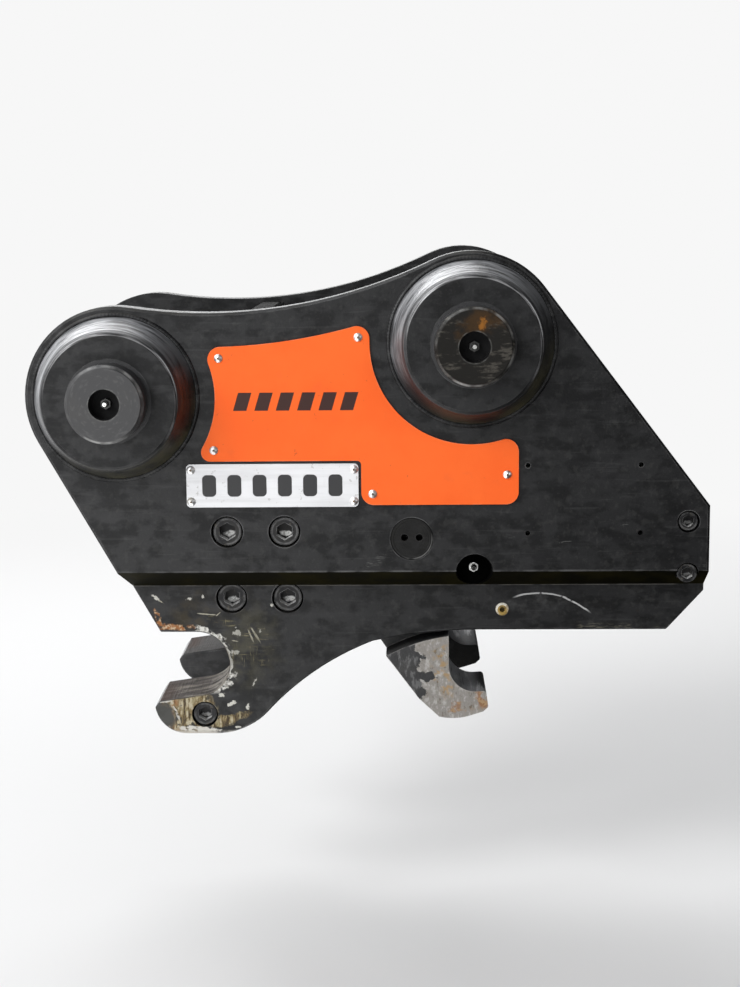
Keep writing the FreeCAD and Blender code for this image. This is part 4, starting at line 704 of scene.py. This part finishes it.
faint = [
    paint.stroke(0.0150, 0.0590, 0.0500, 0.0500, 0.0060, ragged=0.8, soft=0.6),
    paint.stroke(0.0460, 0.0120, 0.0800, 0.0040, 0.0200, ragged=0.9, soft=0.8),
    paint.stroke(0.0640, 0.0460, 0.0820, 0.0280, 0.0160, ragged=0.9, soft=0.8)]
olive = paint.both(
    near, paint.patch(0.0600, 0.0200, 0.0300, 0.0430, ragged=0.5, soft=0.9),
    paint.blots(60.0, 0.36, 0.60, detail=7.0))
paint.coat((olive, 0.6), (0.056, 0.052, 0.034), rough=0.6)
hatch = paint.either(
    paint.noise(210.0, stretch=(0.22, 1, 2.4), detail=5.0),
    paint.noise(230.0, stretch=(2.6, 1, 0.24), detail=5.0, turn=0.3))
faint = paint.both(near, paint.either(*faint))
paint.coat((faint, paint.fade(hatch, 0.56, 0.64), 0.8), (0.100, 0.086, 0.046), rough=0.6)
paint.coat((faint, paint.fade(hatch, 0.63, 0.69), 0.8), (0.34, 0.31, 0.21), rough=0.6)
scrape = paint.both(
    near, paint.either(paint.patch(-0.0130, -0.0640, 0.0250, 0.0270, turn=-35, ragged=0.45, soft=0.2),
                       paint.patch(0.0360, -0.0715, 0.0210, 0.0058, turn=22, ragged=0.6, soft=0.3)))
primer = paint.noise(150.0, stretch=(1.8, 1, 0.42), detail=8.0, rough=0.68, turn=0.25)
flake = paint.noise(60.0, detail=8.0, rough=0.68)
paint.coat(scrape, (0.200, 0.150, 0.072), rough=0.72)
paint.coat((scrape, paint.fade(primer, 0.50, 0.56)), (0.46, 0.41, 0.29), rough=0.75)
paint.coat((scrape, paint.fade(flake, 0.52, 0.58)), (0.30, 0.26, 0.15), rough=0.7)
paint.coat((scrape, paint.fade(primer, 0.46, 0.42)), (0.050, 0.034, 0.018), rough=0.7)
paint.coat((scrape, paint.fade(flake, 0.44, 0.40)), (0.024, 0.022, 0.018), rough=0.6)
rusted = paint.both(scrape, paint.fade(paint.x, -0.020, -0.030), paint.fade(flake, 0.46, 0.54))
paint.coat((rusted, 0.8), (0.27, 0.115, 0.045), rough=0.8)
torn = paint.either(
    paint.stroke(-0.052, -0.0500, -0.0340, -0.0470, 0.0030, ragged=0.8),
    paint.stroke(-0.030, -0.0820, 0.0260, -0.0850, 0.0050, ragged=0.8),
    paint.stroke(-0.0340, -0.0480, -0.0200, -0.0800, 0.0022, ragged=0.9))
torn = paint.both(near, torn, paint.blots(170.0, 0.40, 0.50, detail=6.0))
paint.coat(torn, (0.60, 0.58, 0.53), rough=0.65)
nose = paint.both(near, paint.patch(-0.0440, -0.0640, 0.0120, 0.0190, turn=28, ragged=0.30))
paint.coat(nose, (0.046, 0.046, 0.042), rough=0.55)
sole = paint.both(
    paint.fade(paint.z, -0.0840, -0.0878), paint.blots(44.0, 0.34, 0.52), paint.fade(paint.x, 0.055, 0.030))
paint.coat((sole, 0.85), (0.40, 0.38, 0.34), rough=0.5, metal=0.4)
SWEEP = 0.0931
swept = paint.away(0.4229, -0.0042)
wobbly = paint.math("ADD", swept, paint.fade(paint.noise(45.0), 0.3, 0.7, -0.0006, 0.0006))
rub = paint.both(
    near, paint.band(wobbly, SWEEP, 0.0005, 0.0008), paint.fade(paint.z, 0.062, 0.070),
    paint.fade(paint.x, 0.390, 0.402), paint.blots(120.0, 0.32, 0.46, detail=6.0))
paint.coat((rub, 0.9), (0.50, 0.50, 0.50), rough=0.4)
haze = paint.both(
    near, paint.fade(swept, SWEEP + 0.0004, SWEEP - 0.0041), paint.fade(paint.z, 0.060, 0.085),
    paint.blots(70.0, 0.46, 0.66, detail=6.0))
paint.coat((haze, 0.35), (0.10, 0.10, 0.10), rough=0.45)
smear = paint.both(
    near, paint.patch(0.522, 0.0450, 0.040, 0.0042, turn=-2, ragged=0.7, soft=0.6),
    paint.blots(260.0, 0.48, 0.62, detail=6.0, stretch=(0.35, 1, 1.8)))
paint.coat((smear, 0.6), (0.115, 0.108, 0.080), rough=0.6)
belly = paint.both(
    paint.towards((0, 0, -1), 0.9, 0.98), paint.fade(paint.x, 0.34, 0.36), paint.fade(paint.x, 0.52, 0.48),
    paint.blots(30.0, 0.30, 0.55))
paint.coat(belly, (0.30, 0.29, 0.27), rough=0.38, metal=0.8)
other_side = paint.both(
    side, paint.fade(paint.y, 0.0, 0.01), paint.fade(from_jaw, 0.110, 0.050),
    paint.blots(42.0, 0.52, 0.62, detail=7.0))
paint.coat((other_side, 0.8), (0.33, 0.27, 0.19), rough=0.7)
top_edge = paint.both(near, paint.band(paint.z, 0.1000, 0.0006, 0.0010), paint.blots(24.0, 0.36, 0.55))
paint.coat((top_edge, 0.35), (0.20, 0.19, 0.17), rough=0.5)
shade_wells(paint, "hook_plate_near")
paint.dress("hook_plate_near", "hook_plate_far")

block_paint = jaw_paint("block_paint")[0]
shade_wells(block_paint, "jaw_block_near")
block_paint.dress("jaw_block_near", "jaw_block_far")


# --- Movable hook -----------------------------------------------------------------------------------
# A steel casting: sand-rough and painted on its cheeks and lever, worn bare where the bucket pin
# bears in the seat and where the claw's sides rub between the bucket's ears.
skin = Finish("hook_skin", (0.022, 0.022, 0.023), 0.5, specular=0.4)
skin.coat(skin.blots(26.0, 0.42, 0.66), (0.040, 0.039, 0.038), rough=0.6)
skin.raise_by(skin.noise(150.0, detail=6.0, rough=0.7), 0.0010)
skin.raise_by(skin.noise(38.0), 0.0016)
claw_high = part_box("movable_hook")[1]
CLAW_FLANK = 0.070
flank = skin.fade(skin.aside(), claw_high.y - 0.0016, claw_high.y - 0.0006)
pitted = skin.noise(150.0, stretch=(1.3, 1, 0.7), detail=9.0, rough=0.70)
edge = skin.noise(42.0, detail=6.0, rough=0.6)
past = skin.math("ADD", skin.x, skin.fade(edge, 0.3, 0.7, -0.008, 0.008))
notch = skin.patch(0.2850, -0.0165, 0.0120, 0.0060, turn=-4, ragged=0.4, soft=0.3)
low_notch = skin.patch(0.2610, -0.0260, 0.0160, 0.0150, turn=-50, ragged=0.4, soft=0.3)
bare = skin.math("SUBTRACT", skin.fade(past, 0.2765, 0.2800), skin.either(notch, low_notch))
bare = skin.both(flank, skin.fade(bare, 0.2, 0.6))
skin.coat(bare, (0.255, 0.240, 0.220), rough=0.50, metal=0.20)
skin.coat((bare, skin.fade(pitted, 0.50, 0.62)), (0.40, 0.385, 0.365), rough=0.44, metal=0.25)
skin.coat((bare, skin.fade(pitted, 0.43, 0.34)), (0.120, 0.098, 0.070), rough=0.7)
scuffs = skin.both(
    flank, skin.fade(past, 0.2830, 0.2780), skin.blots(90.0, 0.54, 0.64, stretch=(1.5, 1, 0.6), detail=8.0))
skin.coat((scuffs, 0.6), (0.16, 0.16, 0.16), rough=0.5)
ochre = skin.both(
    flank, skin.patch(0.3060, -0.0110, 0.0100, 0.0300, turn=10, ragged=0.7, soft=0.6),
    skin.blots(120.0, 0.46, 0.60, detail=8.0))
skin.coat((ochre, bare, 0.8), (0.36, 0.235, 0.105), rough=0.8)
specks = skin.both(
    flank, skin.either(skin.patch(0.3220, -0.0560, 0.0110, 0.0050, turn=-10, ragged=0.8, soft=0.5),
                       skin.patch(0.3555, -0.0520, 0.0090, 0.0135, turn=-12, ragged=0.7, soft=0.5)),
    skin.blots(90.0, 0.42, 0.54, detail=8.0))
skin.coat((specks, 0.85), (0.25, 0.105, 0.030), rough=0.9, metal=0.0)
skin.coat((specks, skin.blots(240.0, 0.50, 0.60)), (0.36, 0.24, 0.13), rough=0.9)
seat = skin.both(
    skin.fade(flank, 0.6, 0.1), skin.fade(skin.x, 0.3080, 0.3125),
    skin.towards((-0.45, 0, 0.89), -0.70, -0.35), skin.fade(skin.z, 0.036, 0.030))
seat = skin.both(seat, skin.towards((0.2, 0, 1), -0.15, 0.25))
pressed = skin.noise(60.0, stretch=(1.4, 0.14, 1.4), detail=6.0)
# Painted shade: the far claw's polish, tip and rim wear go on at three tenths of their strength.
near_claw = skin.fade(skin.y, 0.0, -0.01, 0.30, 1.0)
skin.coat(seat, (0.022, 0.022, 0.023), rough=0.7, metal=0.0, shine=0.10)
skin.coat((seat, skin.fade(pressed, 0.54, 0.64), 0.7), (0.20, 0.20, 0.20), rough=0.4, metal=0.2)
# Part polish, part painted light: the near claw's seat crescent, which faces away from the lamps, is painted
# lighter.
polish_and_light = skin.both(seat, near_claw, skin.fade(skin.x, 0.3560, 0.3400))
skin.coat(polish_and_light, (0.165, 0.168, 0.175), rough=0.44, metal=0.2, shine=0.4)
skin.coat((polish_and_light, skin.fade(pressed, 0.52, 0.62)), (0.34, 0.34, 0.345), rough=0.40, metal=0.3)
skin.coat((polish_and_light, skin.fade(pressed, 0.42, 0.34)), (0.070, 0.062, 0.054), rough=0.6)
tip = skin.both(
    skin.fade(skin.x, claw_high.x - 0.10, claw_high.x - 0.02), skin.fade(skin.z, -0.052, -0.064),
    skin.blots(60.0, 0.36, 0.56))
skin.coat((tip, near_claw, 0.7), (0.34, 0.31, 0.27), rough=0.5, metal=0.3)
worn_rim = skin.both(skin.edges(0.0024), skin.fade(skin.z, 0.045, 0.030), skin.blots(55.0, 0.40, 0.58))
skin.coat((worn_rim, near_claw, 0.7), (0.40, 0.39, 0.37), rough=0.4, metal=0.4)
shaded = skin.both(
    skin.band(skin.y, CLAW_FLANK, 0.0012, 0.0005), skin.fade(skin.x, 0.290, 0.300),
    skin.fade(skin.z, -0.010, -0.020))
skin.coat((shaded, 0.9), (0.0030, 0.0030, 0.0026), rough=0.8, shine=0.1)
skin.dress("movable_hook")


# --- Cross members, saddles and the stop shaft --------------------------------------------------------
# Blocks and rolled plates that tie the sides together, painted last and dusty on top. The stop shaft
# shows painted ends, and bare steel between the plates where the hook's lever strikes it.
black_paint("block_black", wear=0.9).dress("front_cross_block", "rear_cross_block")
paint = black_paint("saddle_paint", wear=0.8)
runs = paint.both(paint.blots(26.0, 0.50, 0.66, stretch=(1.2, 1.2, 0.16)), paint.fade(paint.z, 0.20, 0.30))
paint.coat((runs, 0.5), (0.060, 0.056, 0.048), rough=0.6)
# Painted shade: the saddles' upward faces are darker and dull.
paint.coat(paint.towards((0, 0, 1), 0.70, 0.95), (0.0050, 0.0050, 0.0048), rough=0.8, shine=0.05)
paint.dress("front_saddle_plate", "rear_saddle_plate")

paint = black_paint("shaft_paint", wear=0.9)
shaft = centre("hook_stop_shaft")
struck = paint.fade(paint.aside(), 0.064, 0.058)
paint.coat((struck, paint.blots(20.0, 0.30, 0.5)), (0.36, 0.355, 0.34), rough=0.4, metal=0.9)
paint.coat((paint.fade(paint.y, 0.0, -0.01), 0.6), (0.0050, 0.0048, 0.0040), rough=0.6, shine=0.15)
turned = paint.rings(shaft.x, shaft.z, 600.0)
paint.raise_by(turned, 0.0004)
ring_edge = paint.band(paint.away(shaft.x, shaft.z), 0.0252, 0.0005, 0.0008)
paint.coat((ring_edge, 0.7), (0.006, 0.006, 0.006), rough=0.7)
# Painted shade: a dark crescent inside the cap's upper-left edge.
upper_left_shade = paint.both(
    paint.fade(paint.away(shaft.x, shaft.z), 0.0195, 0.0240),
    paint.patch(shaft.x - 0.014, shaft.z + 0.014, 0.030, 0.022, turn=45, soft=0.6))
paint.coat((upper_left_shade, 0.8), (0.0040, 0.0038, 0.0030), rough=0.7)
# Painted highlight: a light arc along the cap's lower-right edge.
lower_right_highlight = paint.both(
    paint.band(paint.away(shaft.x, shaft.z), 0.0250, 0.0008, 0.0010),
    paint.patch(shaft.x + 0.012, shaft.z - 0.019, 0.020, 0.012, turn=40, soft=0.5),
    paint.blots(80.0, 0.36, 0.50))
paint.coat((lower_right_highlight, 0.8), (0.17, 0.17, 0.165), rough=0.5)
paint.dress("hook_stop_shaft")

arm, link = centre("arm_pin"), centre("link_pin")
front_low, front_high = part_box("front_saddle_plate")
rear_low, rear_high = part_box("rear_saddle_plate")
plate_y = -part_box("hook_plate_near")[0].y
THICK = 0.020
front_out = front_high.x - arm.x
rear_out = link.x - rear_low.x
for side, face in (("near", -plate_y), ("far", plate_y)):
    for name, radius in (("inner", front_out - THICK), ("outer", front_out)):
        ends = [math.degrees(math.asin((z - arm.z) / radius)) for z in (front_low.z + 0.004,
                                                                        front_high.z - 0.002)]
        weld_bead(f"front_saddle_bead_{name}_{side}", arc_path(arm, radius, *ends, face), 0.0036, bead_paint)
    for name, radius in (("inner", rear_out - THICK), ("outer", rear_out)):
        top = 180 - math.degrees(math.asin((rear_high.z - 0.002 - link.z) / radius))
        curve = arc_path(link, radius, top, 190, face)
        lean = math.tan(math.radians(10))
        foot = Vector((curve[-1].x + lean * (curve[-1].z - rear_low.z), face, rear_low.z))
        length = round((foot - curve[-1]).length / 0.0011)
        straight = [curve[-1].lerp(foot, (i + 1) / length) for i in range(length - 3)]
        weld_bead(f"rear_saddle_bead_{name}_{side}", curve + straight, 0.0036, bead_paint)


# --- Hook pivot and cross pins ------------------------------------------------------------------------
# Ground steel pins that run in grease, with pale nylon washers beside the movable hook's hub.
def greased(name):
    steel = Finish(name, (0.50, 0.49, 0.47), 0.22, metal=1.0)
    steel.coat((steel.blots(26.0, 0.40, 0.66), 0.8), (0.15, 0.12, 0.07), rough=0.38)
    steel.coat((steel.blots(75.0, 0.56, 0.66), 0.8), (0.03, 0.026, 0.018), rough=0.3, metal=0.3)
    steel.raise_by(steel.noise(480.0, stretch=(1, 6, 1)), 0.00008)
    return steel


greased("greased_steel").dress("hook_pivot_pin", "rod_pin", "barrel_pin")
nylon = Finish("nylon", (0.66, 0.64, 0.56), 0.45)
nylon.coat(nylon.blots(40.0, 0.40, 0.68), (0.50, 0.46, 0.36), rough=0.55)
nylon.coat((nylon.blots(90.0, 0.56, 0.66), 0.7), (0.09, 0.08, 0.06), rough=0.4)
nylon.raise_by(nylon.noise(300.0), 0.0001)
nylon.dress("thrust_washer_near", "thrust_washer_far")


# --- Hydraulic cylinder -------------------------------------------------------------------------------
# A black barrel with a hard-chromed rod, its load-holding valve block zinc-plated on top. It is
# greasy, and the dust that sticks to it is brown.
barrel_paint = black_paint("barrel_paint", wear=0.5)
grime = barrel_paint.both(
    barrel_paint.towards((0, 0, 1), 0.1, 0.9), barrel_paint.blots(24.0, 0.34, 0.66, detail=6.0))
barrel_paint.coat((grime, 0.55), (0.12, 0.095, 0.06), rough=0.85)
barrel_paint.dress("barrel_end_cap", "barrel_tube", "rod_gland", "rod_eye")
chrome = Finish("hard_chrome", (0.72, 0.73, 0.74), 0.10, metal=1.0)
chrome.coat((chrome.blots(30.0, 0.44, 0.70), 0.6), (0.55, 0.54, 0.50), rough=0.22)
chrome.raise_by(chrome.noise(900.0, stretch=(8, 1, 1)), 0.00002)
chrome.dress("piston_rod", "piston")
plated("valve_zinc", (0.50, 0.49, 0.44), 0.40).dress("lock_valve_block")
plated("cartridge_steel", (0.40, 0.40, 0.39), 0.34).dress("valve_cartridge")
rubber = Finish("seal_rubber", (0.012, 0.012, 0.012), 0.6)
rubber.coat(rubber.blots(60.0, 0.44, 0.66), (0.030, 0.028, 0.024), rough=0.75)
rubber.raise_by(rubber.noise(260.0), 0.0001)
rubber.dress("rod_wiper", "piston_seal")


# --- Screws -------------------------------------------------------------------------------------------
# Black-oxide socket screws sunk in their counterbores, their rims rubbed. The sockets' upward-facing
# walls and the lower part of their floors carry painted highlights and their downward-facing walls
# painted shade, and painted shade and grit lie in the gap round each head.
oxide = Finish("screw_oxide", (0.008, 0.008, 0.009), 0.46, metal=0.15, specular=0.25)
oxide.coat(oxide.blots(60.0, 0.40, 0.64), (0.024, 0.023, 0.022), rough=0.55)
wall = oxide.fade(oxide.math("ABSOLUTE", oxide.parts(oxide.facing)[1]), 0.5, 0.2)
# Painted shade: the sockets' downward-facing walls are darker.
oxide.coat((wall, oxide.fade(oxide.parts(oxide.facing)[2], 0.3, -0.2)), (0.004, 0.004, 0.004), rough=0.6)
# Painted highlight: the sockets' upward-facing walls are bright.
socket_highlight = oxide.both(wall, oxide.towards((0, 0, 1), 0.30, 0.75), oxide.blots(150.0, 0.30, 0.50))
oxide.coat(socket_highlight, (0.80, 0.80, 0.79), rough=0.4, metal=0.2)
for name, across, rubbed in (
        ("front_block_screws_near", 0.019, 0.95), ("rear_block_screws_near", 0.0126, 0.30),
        ("jaw_screw_near", 0.0158, 0.50)):
    for spot in centres(name):
        # Painted highlight: a bright patch on the lower part of each socket's floor, as strong as rubbed
        # gives.
        floor_lit = oxide.both(
            oxide.patch(spot.x + 0.001, spot.z - 0.26 * across, 0.34 * across, 0.17 * across, ragged=0.4),
            oxide.fade(oxide.y, spot.y + 0.006, spot.y + 0.007),
            oxide.fade(oxide.away(spot.x, spot.z), 0.49 * across, 0.46 * across))
        oxide.coat((floor_lit, rubbed), (0.86, 0.86, 0.84), rough=0.45)
        # Part rubbing, part painted highlight: a lighter ring near each head's outer edge.
        shoulder = oxide.both(
            oxide.band(oxide.away(spot.x, spot.z), 0.80 * across, 0.0004, 0.0012),
            oxide.fade(oxide.y, spot.y + 0.002, spot.y + 0.001), oxide.blots(60.0, 0.36, 0.56))
        oxide.coat((shoulder, 0.6), (0.17, 0.17, 0.17), rough=0.45)
oxide.coat((oxide.blots(300.0, 0.50, 0.60, detail=6.0), 0.5), (0.026, 0.026, 0.025), rough=0.5)
oxide.coat(
    (oxide.edges(0.0012), oxide.blots(70.0, 0.36, 0.56), 0.75), (0.30, 0.30, 0.30), rough=0.35, metal=0.8)
oxide.coat((oxide.blots(210.0, 0.60, 0.68), 0.5), (0.13, 0.115, 0.09), rough=0.8)
oxide.raise_by(oxide.noise(520.0), 0.00010)
oxide.dress(
    "front_block_screws_near", "front_block_screws_far", "rear_block_screws_near", "rear_block_screws_far",
    "jaw_screw_near", "jaw_screw_far", "valve_screws")


# --- Oil plug -----------------------------------------------------------------------------------------
# A small brass plug in the lower plate, dull and greasy, with a ring of pale sealant round it.
plug = centre("oil_plug")
brass = Finish("plug_brass", (0.40, 0.27, 0.075), 0.42, metal=0.8)
brass.coat(brass.blots(170.0, 0.40, 0.62), (0.22, 0.15, 0.05), rough=0.6, metal=0.5)
brass.coat((brass.fade(brass.away(plug.x, plug.z), 0.0036, 0.0028), 0.8), (0.035, 0.028, 0.015), rough=0.6)
crown = brass.both(
    brass.fade(brass.away(plug.x, plug.z), 0.0052, 0.0064),
    brass.patch(plug.x - 0.0025, plug.z + 0.0035, 0.0085, 0.0075, ragged=0.5))
brass.coat(crown, (0.70, 0.68, 0.60), rough=0.6, metal=0.0)
brass.raise_by(brass.noise(500.0), 0.0003)
brass.dress("oil_plug")


# --- Badge plate --------------------------------------------------------------------------------------
# Aluminium sheet with an orange coat, riveted over the ear's corners. Where a name would be it has a
# row of plain slanting bars. The coat is a little dusty, chalked and nicked along its edges.
badge_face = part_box("badge_plate")[0].y
SLANT, FIRST_BAR, BAR_PITCH, BAR_MIDDLE = 0.30, -0.0415, 0.0255, 0.00875
HALF_BAR, HALF_ROW, ROW_Z = 0.0082, 0.0730, 0.332
orange = Finish("badge_orange", (0.93, 0.122, 0.011), 0.42, specular=0.32)
orange.coat(orange.blots(11.0, 0.34, 0.70), (0.96, 0.142, 0.016), rough=0.46)
orange.coat((orange.blots(48.0, 0.58, 0.72, detail=6.0), 0.25), (0.78, 0.11, 0.022), rough=0.5)
orange.coat((orange.blots(120.0, 0.69, 0.73), 0.45), (0.42, 0.06, 0.02), rough=0.6)
bar_x = orange.math(
    "SUBTRACT", orange.math("SUBTRACT", orange.x, orange.math("MULTIPLY", orange.z, SLANT)), FIRST_BAR)
lane = orange.math("SUBTRACT", orange.math("MODULO", bar_x, BAR_PITCH), BAR_MIDDLE)
bars = orange.both(
    orange.fade(orange.math("ABSOLUTE", lane), HALF_BAR, HALF_BAR - 0.0006),
    orange.band(orange.z, ROW_Z, 0.0105, 0.0006), orange.band(bar_x, HALF_ROW, HALF_ROW, 0.0003),
    orange.fade(orange.y, badge_face + 0.0006, badge_face + 0.0003))
orange.coat(bars, (0.030, 0.008, 0.005), rough=0.5)
orange.raise_by(orange.math("SUBTRACT", 1.0, bars), 0.0005)
nicks = orange.both(orange.edges(0.0014), orange.blots(60.0, 0.44, 0.56))
orange.coat((nicks, 0.5), (0.95, 0.42, 0.25), rough=0.5)
orange.raise_by(orange.noise(200.0), 0.00012)
orange.dress("badge_plate")


# --- Number plate -------------------------------------------------------------------------------------
# Bare aluminium sheet with a row of blank windows punched through it, the black paint behind them.
number_low, number_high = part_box("number_plate")
END_GAP = 0.0275
HALF_SLOT, HALF_SLOT_UP, SLOT_CORNER = 0.0030, 0.0078, 0.0056
pitch = (number_high.x - number_low.x - 2 * END_GAP) / 5
alloy = Finish("number_alloy", (0.76, 0.765, 0.78), 0.48, metal=0.22)
alloy.coat((alloy.blots(70.0, 0.40, 0.66, stretch=(0.15, 1, 2.0)), 0.6), (0.62, 0.62, 0.63), rough=0.40)
alloy.coat((alloy.blots(150.0, 0.62, 0.70), 0.6), (0.30, 0.29, 0.27), rough=0.6)
row = alloy.math("SUBTRACT", alloy.x, number_low.x + END_GAP - pitch / 2)
column = alloy.math("ABSOLUTE", alloy.math("SUBTRACT", alloy.math("MODULO", row, pitch), pitch / 2))
height = alloy.math("ABSOLUTE", alloy.math("SUBTRACT", alloy.z, (number_low.z + number_high.z) / 2))
past_x = alloy.math("MAXIMUM", alloy.math("SUBTRACT", column, HALF_SLOT), 0.0)
past_z = alloy.math("MAXIMUM", alloy.math("SUBTRACT", height, HALF_SLOT_UP), 0.0)
corner_reach = alloy.math(
    "SQRT", alloy.math("ADD", alloy.math("POWER", past_x, 2.0), alloy.math("POWER", past_z, 2.0)))
windows = alloy.both(
    alloy.fade(corner_reach, SLOT_CORNER, SLOT_CORNER - 0.0006),
    alloy.fade(alloy.y, number_low.y + 0.0006, number_low.y + 0.0003),
    alloy.band(row, pitch * 3, pitch * 3, 0.0001))
alloy.coat(windows, (0.016, 0.016, 0.017), rough=0.55, metal=0.0)
alloy.raise_by(alloy.math("SUBTRACT", 1.0, windows), 0.0010)
alloy.raise_by(alloy.noise(300.0, stretch=(0.3, 1, 2.0)), 0.00008)
alloy.dress("number_plate")


# --- Rivets -------------------------------------------------------------------------------------------
# Aluminium blind rivets, bright on the dome, with the broken-off stem dark in the middle.
rivet_alloy = plated("rivet_alloy", (0.84, 0.84, 0.84), 0.34)
rivet_alloy.dress("number_plate_rivets", "badge_plate_rivets")
stem_steel = Finish("stem_steel", (0.10, 0.095, 0.09), 0.5, metal=0.6)
stem_steel.coat(stem_steel.blots(900.0, 0.42, 0.60), (0.25, 0.16, 0.09), rough=0.7)
stem_steel.raise_by(stem_steel.noise(1500.0), 0.00008)
for plate in ("badge_plate", "number_plate"):
    bm = bmesh.new()
    for spot in centres(plate + "_rivets"):
        lies = Matrix.Translation(spot + Vector((0, 0.00015, 0))) @ Matrix.Rotation(math.radians(90), 4, "X")
        bmesh.ops.create_cone(
            bm, cap_ends=True, segments=20, radius1=0.0017, radius2=0.0013, depth=0.0009, matrix=lies)
    bmesh.ops.bevel(bm, geom=bm.edges[:], offset=0.0002, affect="EDGES", segments=2, profile=0.5, material=-1)
    bmesh.ops.recalc_face_normals(bm, faces=bm.faces)
    stems = bpy.data.objects.new(plate + "_rivet_stems", bpy.data.meshes.new(plate + "_rivet_stems"))
    bm.to_mesh(stems.data)
    bm.free()
    bpy.context.scene.collection.objects.link(stems)
    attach(stems, "frame")
    stem_steel.dress(stems.name)
